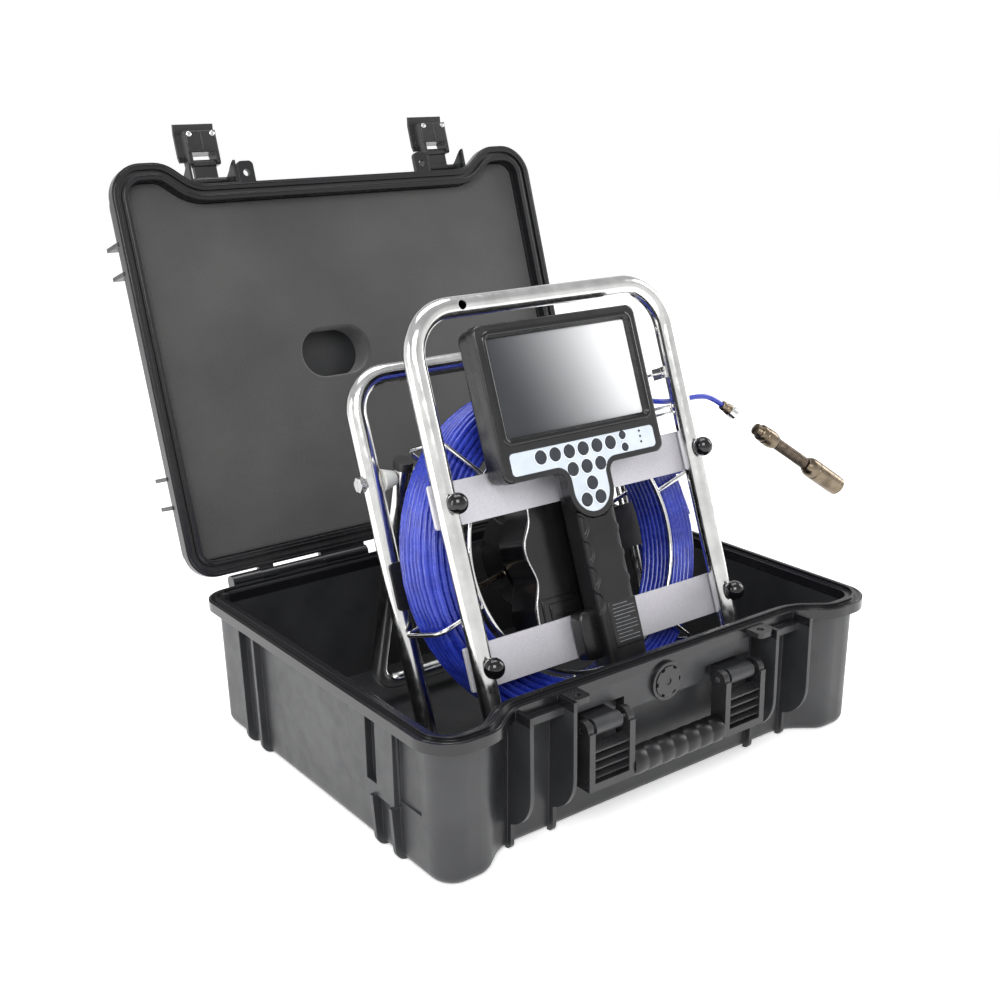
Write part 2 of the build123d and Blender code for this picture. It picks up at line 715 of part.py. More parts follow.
# ================================================================ cable guide, lead, connector and head
guide_plane = rack_plane(LEAD_W)
exit_point = rack_point(*LEAD_ROUTE[0], LEAD_W)
exit_way = (rack_point(*LEAD_ROUTE[1], LEAD_W) - exit_point).normalized()
with BuildPart() as cable_guide:
    # wire from the right leg, down behind the monitor and out as a flat hook under the lead
    with BuildLine(guide_plane):
        FilletPolyline(*GUIDE_ROUTE, radius=GUIDE_BEND)
    guide_start = rack_point(*GUIDE_ROUTE[0], LEAD_W)
    with BuildSketch(Plane(origin=guide_start, z_dir=rack_point(*GUIDE_ROUTE[1], LEAD_W) - guide_start)):
        Circle(GUIDE_R)
    sweep()
    # clip round the back of the leg
    with BuildSketch(rack_section(GUIDE_ROUTE[0][1] - 5.5)):
        with Locations((FRONT_X, 0)):
            Circle(TUBE_R + 3)
        with Locations((FRONT_X, TUBE_R + 7)):
            Rectangle(14, 12)
        with Locations((FRONT_X, 0)):
            Circle(TUBE_R, mode=Mode.SUBTRACT)
        with Locations((FRONT_X, -10)):
            Rectangle(40, 20, mode=Mode.SUBTRACT)
    extrude(amount=11)
    # sleeve where the rod leaves the reel, on a short stay from the hook's wire
    with BuildSketch(Plane(origin=exit_point, z_dir=exit_way)):
        Circle(SLEEVE_R)
    extrude(amount=SLEEVE_L)
    with BuildLine(guide_plane):
        Line((83.0, 196.0), (74.0, 168.5))
    stay = rack_point(83, 196, LEAD_W)
    with BuildSketch(Plane(origin=stay, z_dir=rack_point(74, 168.5, LEAD_W) - stay)):
        Circle(GUIDE_R)
    sweep()
    with BuildSketch(Plane(origin=exit_point, z_dir=exit_way)):
        Circle(CABLE_R)
    extrude(amount=SLEEVE_L, mode=Mode.SUBTRACT)
cable_guide.part.label = "cable_guide"
export_step(cable_guide.part, "parts/cable_guide.step")


def route_radii(route):
    """Largest even arc at each corner: 0.45 of the shorter run over the tangent of half the turn."""
    radii = []
    for before, corner, after in zip(route, route[1:], route[2:]):
        run_in = Vector(*corner) - Vector(*before)
        run_out = Vector(*after) - Vector(*corner)
        turn = radians(run_in.get_angle(run_out))
        radii.append(0.45 * min(run_in.length, run_out.length) / tan(turn / 2))
    return radii


lead_radii = route_radii(LEAD_ROUTE)
print("lead radii", [round(r, 1) for r in lead_radii])
with BuildPart() as push_rod_lead:
    with BuildLine(guide_plane) as lead_line:
        FilletPolyline(*LEAD_ROUTE, radius=lead_radii)
    with BuildSketch(Plane(origin=exit_point, z_dir=exit_way)):
        Circle(CABLE_R)
    sweep()
lead_length = sum(edge.length for edge in lead_line.edges())
print("lead length", round(lead_length, 1))
print("lead volume ratio", round(push_rod_lead.part.volume / (pi * CABLE_R**2 * lead_length), 4))
push_rod_lead.part.label = "push_rod_lead"
export_step(push_rod_lead.part, "parts/push_rod_lead.step")

lead_end = rack_point(*LEAD_ROUTE[-1], LEAD_W)
HEAD_WAY = (lead_end - rack_point(*LEAD_ROUTE[-2], LEAD_W)).normalized()
print("head direction", [round(c, 5) for c in HEAD_WAY])
HEAD_START = CONNECTOR_L + HEAD_GAP
COLLAR_END = HEAD_RING_L + HEAD_COLLAR_L
SPRING_END = COLLAR_END + HEAD_SPRING_L
HEAD_END = SPRING_END + HEAD_BODY_L
# turned pieces on the connector's line: start past the lead's end, then (along, radius) corners
TURNED = {
    "lead_connector": (
        0,
        [(0, 0), (0, 4.2), (3, 5.2), (CONNECTOR_L, 6.6), (CONNECTOR_L, 5.2), (8, 5.2), (8, 0)],
    ),
    "head_collar": (
        HEAD_START,
        [
            (0, 0),
            (0, 6.3),
            (HEAD_RING_L, 6.3),
            (HEAD_RING_L, 7.8),
            (HEAD_RING_L + 3, 8.4),
            (COLLAR_END - 8, 9.2),
            (COLLAR_END, 7.4),
            (COLLAR_END, 0),
        ],
    ),
    "head_spring": (HEAD_START, [(COLLAR_END, 0), (COLLAR_END, 6.3), (SPRING_END, 6.3), (SPRING_END, 0)]),
    "head_body": (
        HEAD_START,
        [
            (SPRING_END, 0),
            (SPRING_END, 7.2),
            (SPRING_END + 2, 9.2),
            (SPRING_END + 6, 10.5),
            (HEAD_END - 2, 10.5),
            (HEAD_END, 9.2),
            (HEAD_END, 0),
        ],
    ),
}
for name, (start, corners) in TURNED.items():
    turning_plane = Plane(origin=lead_end + HEAD_WAY * start, x_dir=HEAD_WAY, z_dir=RACK_OUT)
    with BuildPart() as turned:
        with BuildSketch(turning_plane):
            with BuildLine():
                Polyline(*corners, close=True)
            make_face()
        revolve(axis=Axis(turning_plane.origin, HEAD_WAY))
    turned.part.label = name
    export_step(turned.part, f"parts/{name}.step")

# ================================================================ reel
reel_middle = rack_point(0, REEL_S, 0)
with BuildPart() as reel_cage:
    with BuildSketch(Plane(origin=rack_point(0, REEL_S, RING_W), x_dir=(1, 0, 0), z_dir=RACK_UP)):
        with Locations((RING_R, 0)):
            Circle(2)
    revolve(axis=Axis(reel_middle, RACK_OUT))
    for arm in range(ARM_COUNT):
        angle = radians(ARM_START + 360 / ARM_COUNT * arm)
        radial = Vector(cos(angle), 0, 0) + RACK_UP * sin(angle)
        arm_plane = Plane(origin=reel_middle, x_dir=radial, z_dir=radial.cross(RACK_OUT))
        with BuildLine(arm_plane):
            FilletPolyline(
                (RING_R - 1, ARM_W[1]), (ARM_R, ARM_W[1]), (ARM_R, ARM_W[0]), (HUB_R - 1, ARM_W[0]), radius=ARM_BEND
            )
        arm_end = reel_middle + radial * (RING_R - 1) + RACK_OUT * ARM_W[1]
        with BuildSketch(Plane(origin=arm_end, z_dir=radial)):
            Circle(WIRE_R)
        sweep()
reel_cage.part.label = "reel_cage"
export_step(reel_cage.part, "parts/reel_cage.step")

with BuildPart() as reel_hub:
    with BuildSketch(rack_plane(HUB_W[0])):
        with Locations((0, REEL_S)):
            Circle(HUB_R)
    extrude(amount=HUB_W[1] - HUB_W[0])
    with BuildSketch(rack_plane(HUB_W[1])):
        with Locations((0, REEL_S)):
            Circle(NOSE_R)
    extrude(amount=NOSE_W - HUB_W[1])
    with BuildSketch(rack_plane(HUB_W[0])):
        with Locations((0, REEL_S)):
            Circle(AXLE_R + RUNNING)
    extrude(amount=NOSE_W - HUB_W[0], mode=Mode.SUBTRACT)
    for arm in range(ARM_COUNT):
        angle = radians(ARM_START + 360 / ARM_COUNT * arm)
        radial = Vector(cos(angle), 0, 0) + RACK_UP * sin(angle)
        socket = Plane(origin=reel_middle + RACK_OUT * ARM_W[0] + radial * (HUB_R - 1), z_dir=radial)
        with BuildSketch(socket):
            Circle(WIRE_R)
        extrude(amount=10, mode=Mode.SUBTRACT)
reel_hub.part.label = "reel_hub"
export_step(reel_hub.part, "parts/reel_hub.step")

with BuildPart() as push_rod_coil:
    with BuildSketch(rack_plane(COIL_W[0])):
        with Locations((0, REEL_S)):
            Circle(COIL_OUT)
            Circle(COIL_IN, mode=Mode.SUBTRACT)
    extrude(amount=COIL_W[1] - COIL_W[0])
    fillet(push_rod_coil.edges().filter_by(GeomType.CIRCLE).group_by(SortBy.RADIUS)[-1], radius=12)
push_rod_coil.part.label = "push_rod_coil"
export_step(push_rod_coil.part, "parts/push_rod_coil.step")

# ================================================================ kickstand
pivot = rack_point(0, KICK_S, REAR_W)
KICK_DOWN = Vector(0, sin(radians(KICK_SWING)), -cos(radians(KICK_SWING)))
kick_plane = Plane(origin=pivot, x_dir=(1, 0, 0), z_dir=Vector(1, 0, 0).cross(-KICK_DOWN))
with BuildPart() as kickstand_tube:
    with BuildLine(kick_plane):
        FilletPolyline(
            (-KICK_X, KICK_TOP), (-KICK_X, -KICK_L), (KICK_X, -KICK_L), (KICK_X, KICK_TOP), radius=KICK_BEND
        )
    with BuildSketch(Plane(origin=pivot - KICK_DOWN * KICK_TOP - Vector(KICK_X, 0, 0), z_dir=KICK_DOWN)):
        Circle(KICK_R)
        Circle(KICK_R - TUBE_WALL, mode=Mode.SUBTRACT)
    sweep()
    for side in SIDES:
        with Locations(Location((side * KICK_X, pivot.Y, pivot.Z), (0, 90, 0))):
            Cylinder(BOLT_R + RUNNING, 40, mode=Mode.SUBTRACT)
kickstand_tube.part.label = "kickstand_tube"
export_step(kickstand_tube.part, "parts/kickstand_tube.step")

with BuildPart() as kickstand_caps:
    for side in SIDES:
        tube_end = pivot - KICK_DOWN * KICK_TOP + Vector(side * KICK_X, 0, 0)
        with BuildSketch(Plane(origin=tube_end, z_dir=-KICK_DOWN)):
            Circle(9.4)
        extrude(amount=3)
        with BuildSketch(Plane(origin=tube_end, z_dir=KICK_DOWN)):
            Circle(9.4)
            Circle(KICK_R, mode=Mode.SUBTRACT)
        extrude(amount=5)
kickstand_caps.part.label = "kickstand_caps"
export_step(kickstand_caps.part, "parts/kickstand_caps.step")

with BuildPart() as kick_bolts:
    for side in SIDES:
        with BuildSketch(side_plane(side * (REAR_X + TUBE_R + 0.3))):
            with Locations((pivot.Y, pivot.Z)):
                RegularPolygon(7.5, 6)
        extrude(amount=side * 5)
        with BuildSketch(side_plane(side * (REAR_X + TUBE_R + 0.3))):
            with Locations((pivot.Y, pivot.Z)):
                Circle(BOLT_R)
        extrude(amount=-side * 56)
        with BuildSketch(side_plane(side * (KICK_X - KICK_R - 0.4))):
            with Locations((pivot.Y, pivot.Z)):
                Circle(6.5)
        extrude(amount=-side * 9)
kick_bolts.part.label = "kick_bolts"
export_step(kick_bolts.part, "parts/kick_bolts.step")

with BuildPart() as kick_spacers:
    for side in SIDES:
        near = Plane(origin=(side * (REAR_X - TUBE_R), pivot.Y, pivot.Z), z_dir=(-side, 0, 0))
        with BuildSketch(near):
            Circle(11)
        with BuildSketch(near.offset(REAR_X - TUBE_R - KICK_X - KICK_R - 0.4)):
            Circle(6.8)
        loft()
        with BuildSketch(near.offset(-1)):
            Circle(BOLT_R)
        extrude(amount=30, mode=Mode.SUBTRACT)
kick_spacers.part.label = "kick_spacers"
export_step(kick_spacers.part, "parts/kick_spacers.step")

# ================================================================ monitor
with BuildPart() as monitor_shell:
    with BuildSketch(rack_plane(BACK_W)):
        with Locations((0, sum(BEZEL_S) / 2)):
            RectangleRounded(2 * BEZEL_X - 2, BEZEL_S[1] - BEZEL_S[0] - 2, 10)
    extrude(amount=BEZEL_W[0] - BACK_W)
    fillet(monitor_shell.faces().sort_by(Axis((0, 0, 0), RACK_OUT))[0].edges(), radius=5)
monitor_shell.part.label = "monitor_shell"
export_step(monitor_shell.part, "parts/monitor_shell.step")

KEYS = (
    [(-50 + KEY_PITCH * i, 146.7, KEY_R) for i in range(6)]
    + [(45.5, 151.0, SMALL_KEY_R), (46.0, 139.8, SMALL_KEY_R)]
    + [(LOBE_X + KEY_PITCH * i, 130.6, KEY_R) for i in (-1, 0, 1)]
    + [(0.0, 115.2, KEY_R)]
    + [(LOBE_X + KEY_PITCH * i, 101.6, KEY_R) for i in (-0.5, 0.5)]
)
with BuildPart() as monitor_bezel:
    with BuildSketch(rack_plane(BEZEL_W[0])):
        with Locations((0, sum(BEZEL_S) / 2)):
            RectangleRounded(2 * BEZEL_X, BEZEL_S[1] - BEZEL_S[0], 9)
    extrude(amount=BEZEL_W[1] - BEZEL_W[0])
    fillet(monitor_bezel.faces().sort_by(Axis((0, 0, 0), RACK_OUT))[-1].edges(), radius=3)
    with BuildSketch(rack_plane(BEZEL_W[0])):
        add(keypad_outline(5))
    extrude(amount=BEZEL_W[1] - BEZEL_W[0])
    with BuildSketch(rack_plane(SCREEN_W)):
        with Locations((0, sum(SCREEN_S) / 2)):
            RectangleRounded(2 * SCREEN_X, SCREEN_S[1] - SCREEN_S[0], 2)
    extrude(amount=8, mode=Mode.SUBTRACT)
    screen_rim = monitor_bezel.faces().sort_by(Axis((0, 0, 0), RACK_OUT))[-1].inner_wires()[0]
    chamfer(screen_rim.edges(), length=1.8)
    with BuildSketch(rack_plane(BEZEL_W[1] - PANEL_T - 0.2)):
        add(keypad_outline(0.1))
    extrude(amount=4, mode=Mode.SUBTRACT)
    with BuildSketch(rack_plane(KEY_W[0] - 1.1)):
        for x, s, radius in KEYS:
            with Locations((x, s)):
                Circle(radius + KEY_GAP)
    extrude(amount=8, mode=Mode.SUBTRACT)
monitor_bezel.part.label = "monitor_bezel"
export_step(monitor_bezel.part, "parts/monitor_bezel.step")

with BuildPart() as monitor_screen:
    with BuildSketch(rack_plane(SCREEN_W)):
        with Locations((0, sum(SCREEN_S) / 2)):
            RectangleRounded(2 * SCREEN_X - 0.4, SCREEN_S[1] - SCREEN_S[0] - 0.4, 1.8)
    extrude(amount=2)
monitor_screen.part.label = "monitor_screen"
export_step(monitor_screen.part, "parts/monitor_screen.step")

with BuildPart() as keypad_panel:
    with BuildSketch(rack_plane(BEZEL_W[1] - PANEL_T - 0.2)):
        add(keypad_outline(0))
        for x, s, radius in KEYS:
            with Locations((x, s)):
                Circle(radius + KEY_GAP, mode=Mode.SUBTRACT)
    extrude(amount=PANEL_T)
keypad_panel.part.label = "keypad_panel"
export_step(keypad_panel.part, "parts/keypad_panel.step")

for number, (x, s, radius) in enumerate(KEYS, start=1):
    with BuildPart() as key:
        with BuildSketch(rack_plane(KEY_W[0])):
            with Locations((x, s)):
                Circle(radius)
        extrude(amount=KEY_W[1] - KEY_W[0])
        fillet(key.edges().filter_by(GeomType.CIRCLE).sort_by(Axis((0, 0, 0), RACK_OUT))[-1], radius=0.8)
    key.part.label = f"key_{number:02d}"
    export_step(key.part, f"parts/key_{number:02d}.step")

with BuildPart() as grip_body:
    with BuildSketch(rack_section(GRIP_S[0])):
        with Locations((GRIP_X, -5.5)):
            RectangleRounded(GRIP_WIDE, 28, 6)
    extrude(amount=GRIP_S[1] - GRIP_S[0])
    # runs up behind the keypad's lobe and round it
    with BuildSketch(rack_plane(BEZEL_W[0])):
        add(keypad_outline(5))
        with Locations((0, sum(BEZEL_S) / 2)):
            Rectangle(2 * BEZEL_X, BEZEL_S[1] - BEZEL_S[0])
    extrude(amount=BEZEL_W[1] - BEZEL_W[0], mode=Mode.SUBTRACT)
    with BuildSketch(rack_section(-40)):
        with Locations((-6.5, -1)):
            RectangleRounded(62, 17, 4)
    extrude(amount=46)
grip_body.part.label = "grip_body"
export_step(grip_body.part, "parts/grip_body.step")
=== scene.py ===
"""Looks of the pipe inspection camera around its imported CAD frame. Metres, in the CAD's own frame."""
import json
from math import cos, hypot, pi, radians, sin, tan

import bmesh
import bpy
from mathutils import Matrix, Vector, noise


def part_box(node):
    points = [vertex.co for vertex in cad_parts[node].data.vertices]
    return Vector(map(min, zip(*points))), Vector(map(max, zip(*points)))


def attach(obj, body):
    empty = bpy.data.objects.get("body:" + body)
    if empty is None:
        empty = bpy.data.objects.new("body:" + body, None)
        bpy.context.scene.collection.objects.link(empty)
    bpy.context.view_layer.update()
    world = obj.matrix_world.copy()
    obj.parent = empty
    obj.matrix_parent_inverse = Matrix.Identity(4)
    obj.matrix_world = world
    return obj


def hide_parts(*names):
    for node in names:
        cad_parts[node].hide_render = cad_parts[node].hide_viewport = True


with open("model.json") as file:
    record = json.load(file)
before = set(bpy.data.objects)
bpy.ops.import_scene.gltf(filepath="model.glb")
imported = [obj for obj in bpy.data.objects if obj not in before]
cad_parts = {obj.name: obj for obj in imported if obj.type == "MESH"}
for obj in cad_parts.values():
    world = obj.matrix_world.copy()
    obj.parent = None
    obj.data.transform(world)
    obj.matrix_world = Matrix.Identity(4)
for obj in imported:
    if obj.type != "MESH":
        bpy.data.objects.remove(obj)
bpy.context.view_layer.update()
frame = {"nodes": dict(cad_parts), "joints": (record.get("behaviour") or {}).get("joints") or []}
JOINTS = {joint["name"]: joint for joint in frame["joints"]}

# ---- places taken from the frame ----------------------------------------------------------------
ACROSS = Vector((1, 0, 0))
RACK_OUT = Vector(JOINTS["reel_spin"]["axis"]).normalized()
RACK_UP = RACK_OUT.cross(ACROSS)
REEL_S = 0.061              # reel centre up the rack
REEL_PIVOT_W = -0.060       # where the reel joint is stated, behind the front frame's plane
RACK_ORIGIN = Vector(JOINTS["reel_spin"]["pos_m"]) - RACK_UP * REEL_S - RACK_OUT * REEL_PIVOT_W
HEAD_WAY = Vector(JOINTS["head_draw"]["axis"]).normalized()

LID_ANGLE = radians(107.3)
HINGE = Vector(JOINTS["lid_hinge"]["pos_m"])
LID_UP = Vector((0, -cos(LID_ANGLE), sin(LID_ANGLE)))
LID_IN = Vector((0, -sin(LID_ANGLE), -cos(LID_ANGLE)))
LID_MID = HINGE + LID_UP * HINGE.y

# ---- sizes shared with the CAD ------------------------------------------------------------------
CASE_HALF_W = 0.255
CASE_HALF_D = 0.2065
FRONT_MID = 0.1827
RIM_TOP = 0.132
ROD_R = 0.0026              # the lead
TURN_R = 0.0030             # a turn of the coil
TURN_PITCH = 0.0064         # from one turn to the next
COIL_IN = 0.118
COIL_OUT = 0.160
COIL_BACK = -0.081
COIL_FRONT = -0.031
COIL_CORNER = 0.012
LEAD_W = -0.019
LEAD_ROUTE = [              # in the lead's plane: across, up the rack
    (0.0790, 0.1989),
    (0.0980, 0.1880),
    (0.1180, 0.1785),
    (0.1410, 0.1736),
    (0.1660, 0.1729),
    (0.1870, 0.1728),
    (0.2025, 0.1693),
    (0.2145, 0.1599),
]
HEAD_START = 0.050          # rear ring of the head, from the lead's end
HEAD_COLLAR = 0.0065        # stations along the head
HEAD_SPRING = 0.0305
HEAD_BODY = 0.0775
HEAD_END = 0.129


def rack(x, s, w=0.0):
    """Point across, up and out of the front frame's plane."""
    return RACK_ORIGIN + ACROSS * x + RACK_UP * s + RACK_OUT * w


def lid(x, y, n=0.0):
    """Point across, up and into the lid, from the middle of its parting plane."""
    return LID_MID + ACROSS * x + LID_UP * y + LID_IN * n


# ================================================================ materials
def put(tree, kind, **settings):
    """Adds a node and sets its properties."""
    made = tree.nodes.new(kind)
    for name, value in settings.items():
        setattr(made, name, value)
    return made


def noise_of(tree, place, scale, detail=3.0):
    """Noise factor at that many features a metre."""
    made = put(tree, "ShaderNodeTexNoise")
    made.inputs["Scale"].default_value = scale
    made.inputs["Detail"].default_value = detail
    tree.links.new(place, made.inputs["Vector"])
    return made.outputs["Fac"]


def remap(tree, value, low, high, to_low, to_high):
    """Value mapped from one range to another, clamped."""
    made = put(tree, "ShaderNodeMapRange")
    for socket, number in zip(("From Min", "From Max", "To Min", "To Max"), (low, high, to_low, to_high)):
        made.inputs[socket].default_value = number
    tree.links.new(value, made.inputs["Value"])
    return made.outputs["Result"]


def mixed(tree, factor, first, second):
    """Colour mixed from first to second by the factor; either may be a socket or an RGB."""
    made = put(tree, "ShaderNodeMix", data_type="RGBA")
    tree.links.new(factor, made.inputs["Factor"])
    for socket, colour in ((made.inputs[6], first), (made.inputs[7], second)):
        if isinstance(colour, bpy.types.NodeSocket):
            tree.links.new(colour, socket)
        else:
            socket.default_value = (*colour, 1)
    return made.outputs[2]


def finish(name, dark, light, rough, spread=0.06, metal=0.0, patch=22.0, grain=900.0, relief=0.12,
           depth=0.0002, rounding=0.0006, worn=None, band=None, sockets=None):
    """Surface whose colour and gloss wander, with a fine grain, soft edges and optional worn edges.

    band is (direction, start, end, colour, roughness): past start along direction, in metres, the
    surface turns to that colour and roughness.
    """
    made = bpy.data.materials.new(name)
    made.use_nodes = True
    tree = made.node_tree
    shader = tree.nodes["Principled BSDF"]
    shader.inputs["Metallic"].default_value = metal
    for socket, value in (sockets or {}).items():
        shader.inputs[socket].default_value = value
    place = put(tree, "ShaderNodeTexCoord").outputs["Object"]
    cloud = remap(tree, noise_of(tree, place, patch), 0.35, 0.65, 0.0, 1.0)
    colour = mixed(tree, cloud, dark, light)
    fine = noise_of(tree, place, grain, 2.0)
    gloss = remap(tree, noise_of(tree, place, patch * 3.1), 0.3, 0.7, rough - spread, rough + spread)
    soft = put(tree, "ShaderNodeBevel", samples=4)
    soft.inputs["Radius"].default_value = rounding
    if worn:
        facing = put(tree, "ShaderNodeVectorMath", operation="DOT_PRODUCT")
        tree.links.new(soft.outputs["Normal"], facing.inputs[0])
        tree.links.new(put(tree, "ShaderNodeNewGeometry").outputs["Normal"], facing.inputs[1])
        edge = remap(tree, facing.outputs["Value"], 0.985, 0.88, 0.0, 0.7)
        colour = mixed(tree, edge, colour, worn)
    if band:
        direction, start, end, band_colour, band_rough = band
        along = put(tree, "ShaderNodeVectorMath", operation="DOT_PRODUCT")
        along.inputs[1].default_value = direction
        tree.links.new(place, along.inputs[0])
        reach = remap(tree, along.outputs["Value"], start, end, 0.0, 1.0)
        colour = mixed(tree, reach, colour, band_colour)
        blend = put(tree, "ShaderNodeMix")
        blend.inputs[3].default_value = band_rough
        tree.links.new(reach, blend.inputs[0])
        tree.links.new(gloss, blend.inputs[2])
        gloss = blend.outputs[0]
    bump = put(tree, "ShaderNodeBump")
    bump.inputs["Strength"].default_value = relief
    bump.inputs["Distance"].default_value = depth
    tree.links.new(fine, bump.inputs["Height"])
    tree.links.new(soft.outputs["Normal"], bump.inputs["Normal"])
    tree.links.new(colour, shader.inputs["Base Color"])
    tree.links.new(gloss, shader.inputs["Roughness"])
    tree.links.new(bump.outputs["Normal"], shader.inputs["Normal"])
    return made


RIM_BLACK = (0.006, 0.006, 0.007)
CASE_DARK = (0.016, 0.0165, 0.018)
CASE_LIGHT = (0.024, 0.0245, 0.026)
CASE_WORN = (0.060, 0.061, 0.064)
case_band = (Vector((0, 0, 1)), 0.1215, 0.1230, RIM_BLACK, 0.22)
lid_band = (LID_IN, LID_IN.dot(LID_MID) - 0.0105, LID_IN.dot(LID_MID) - 0.0090, RIM_BLACK, 0.24)
case_plastic = finish("case_plastic", CASE_DARK, CASE_LIGHT, 0.40, worn=CASE_WORN, band=case_band,
                      rounding=0.0009, relief=0.22)
lid_plastic = finish("lid_plastic", CASE_DARK, CASE_LIGHT, 0.40, worn=CASE_WORN, band=lid_band,
                     rounding=0.0009, relief=0.22)
trim_plastic = finish("trim_plastic", (0.010, 0.010, 0.011), (0.017, 0.017, 0.018), 0.30,
                      worn=(0.05, 0.05, 0.052), relief=0.15)
gloss_black = finish("gloss_black", (0.003, 0.003, 0.0035), (0.006, 0.006, 0.0065), 0.10, 0.03, relief=0.02)
satin_black = finish("satin_black", (0.003, 0.003, 0.0035), (0.006, 0.006, 0.0065), 0.22, 0.05,
                     worn=(0.03, 0.03, 0.031), grain=1500, relief=0.06, rounding=0.0008)
monitor_plastic = finish("monitor_plastic", (0.006, 0.006, 0.0065), (0.010, 0.010, 0.011), 0.27,
                         worn=(0.035, 0.035, 0.037), grain=1500, relief=0.12, rounding=0.0010)
grip_rubber = finish("grip_rubber", (0.005, 0.005, 0.0055), (0.009, 0.009, 0.010), 0.36, grain=1300,
                     relief=0.25, sockets={"Specular IOR Level": 0.35})
foam_finish = finish("foam", (0.040, 0.039, 0.039), (0.054, 0.053, 0.052), 0.93, 0.04, patch=9, grain=1500,
                     relief=0.75, depth=0.0006, rounding=0.0025,
                     sockets={"Sheen Weight": 0.25, "Sheen Roughness": 0.6, "Specular IOR Level": 0.2})
seal_rubber = finish("seal_rubber", (0.008, 0.008, 0.008), (0.014, 0.014, 0.014), 0.5)
polished = finish("polished_steel", (0.62, 0.62, 0.61), (0.76, 0.76, 0.75), 0.16, 0.07, 1.0, patch=40,
                  grain=2200, relief=0.04)
bright_steel = finish("bright_steel", (0.5, 0.5, 0.5), (0.68, 0.68, 0.68), 0.26, 0.08, 1.0, patch=90)
silver_plate = finish("silver_plate", (0.52, 0.51, 0.55), (0.68, 0.67, 0.71), 0.46, 0.05, 0.6, patch=1500,
                      grain=2600, relief=0.35, rounding=0.0004)
blue_sheath = finish("blue_sheath", (0.012, 0.024, 0.27), (0.022, 0.042, 0.38), 0.25, 0.07, patch=60,
                     grain=700, relief=0.05, sockets={"Coat Weight": 0.2, "Coat Roughness": 0.2})
bronze = finish("nickel_bronze", (0.125, 0.098, 0.068), (0.215, 0.172, 0.124), 0.25, 0.07, 1.0, patch=70,
                grain=2600, relief=0.08, rounding=0.0004)
dark_bronze = finish("dark_bronze", (0.07, 0.055, 0.042), (0.16, 0.125, 0.095), 0.34, 0.08, 1.0, patch=140)
nylon = finish("nylon", (0.58, 0.57, 0.53), (0.70, 0.69, 0.65), 0.4, sockets={"Subsurface Weight": 0.1})
keypad_film = finish("keypad_film", (0.45, 0.50, 0.55), (0.52, 0.57, 0.62), 0.36, patch=50, grain=3000,
                     relief=0.15, rounding=0.0003)
key_rubber = finish("key_rubber", (0.010, 0.013, 0.018), (0.017, 0.021, 0.029), 0.40, patch=160, grain=3000,
                    rounding=0.0003)
dim_print = finish("dim_print", (0.16, 0.165, 0.175), (0.20, 0.205, 0.215), 0.45, patch=200, grain=3000)
ring_print = finish("ring_print", (0.70, 0.74, 0.80), (0.78, 0.82, 0.87), 0.4, patch=200, grain=3000)
lens_glass = finish("lens_glass", (0.004, 0.005, 0.008), (0.01, 0.012, 0.02), 0.06, 0.02, relief=0.0,
                    sockets={"Coat Weight": 1.0})


def painted_reflection_display():
    """Dark display with a painted reflection: its base colour pales from its lower left to its right side,
    towards light grey.
    """
    made = finish("display", (0.03, 0.032, 0.036), (0.034, 0.036, 0.04), 0.2, 0.03, patch=12, relief=0.02,
                  sockets={"Specular IOR Level": 0.25})
    tree = made.node_tree
    shader = tree.nodes["Principled BSDF"]
    under = shader.inputs["Base Color"].links[0].from_socket
    along = put(tree, "ShaderNodeVectorMath", operation="DOT_PRODUCT")
    slant = (ACROSS + RACK_UP * 0.35).normalized()
    along.inputs[1].default_value = slant
    tree.links.new(put(tree, "ShaderNodeTexCoord").outputs["Object"], along.inputs[0])
    middle = slant.dot(rack(0, 0.2115, 0.016))
    # painted reflection: the base colour ramps from the dark display to light grey, in place of the light
    # mirrored in the glass
    painted_reflection_ramp = remap(tree, along.outputs["Value"], middle - 0.075, middle + 0.075, 0.0, 1.0)
    curve = put(tree, "ShaderNodeMath", operation="POWER")
    curve.inputs[1].default_value = 2.1
    tree.links.new(painted_reflection_ramp, curve.inputs[0])
    tree.links.new(mixed(tree, curve.outputs[0], under, (0.86, 0.87, 0.88)), shader.inputs["Base Color"])
    return made


display = painted_reflection_display()

FINISHES = {
    case_plastic: ["case_base"],
    lid_plastic: ["lid_shell"],
    seal_rubber: ["lid_gasket", "frame_feet"],
    trim_plastic: ["padlock_eyes", "valve_body", "valve_knob", "handle_frame", "reel_bracket",
                   "latch_lever_left", "latch_lever_right", "latch_link_left", "latch_link_right",
                   "floor_rails", "kickstand_caps"],
    bright_steel: ["case_pins", "latch_pins", "plate_studs", "kick_bolts"],
    polished: ["front_frame", "rear_frame", "kickstand_tube", "cable_guide", "reel_cage"],
    silver_plate: ["upper_plate", "lower_plate"],
    gloss_black: ["knob_upper_left", "knob_upper_right", "knob_lower_left", "knob_lower_right"],
    satin_black: ["electronics_box", "reel_hub"],
    monitor_plastic: ["monitor_shell", "monitor_bezel"],
    nylon: ["kick_spacers"],
    keypad_film: ["keypad_panel"],
    key_rubber: [node for node in frame["nodes"] if node.startswith("key_")],
    display: ["monitor_screen"],
}
for surface, nodes in FINISHES.items():
    for node in nodes:
        mesh = frame["nodes"][node].data
        mesh.materials.clear()
        mesh.materials.append(surface)


# ================================================================ piece builders
def keep(piece, surface, body, replaces=()):
    """Gives a piece its surface and its body, and hides what it stands for."""
    piece.data.materials.clear()
    piece.data.materials.append(surface)
    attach(piece, body)
    if replaces:
        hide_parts(*replaces)
    return piece


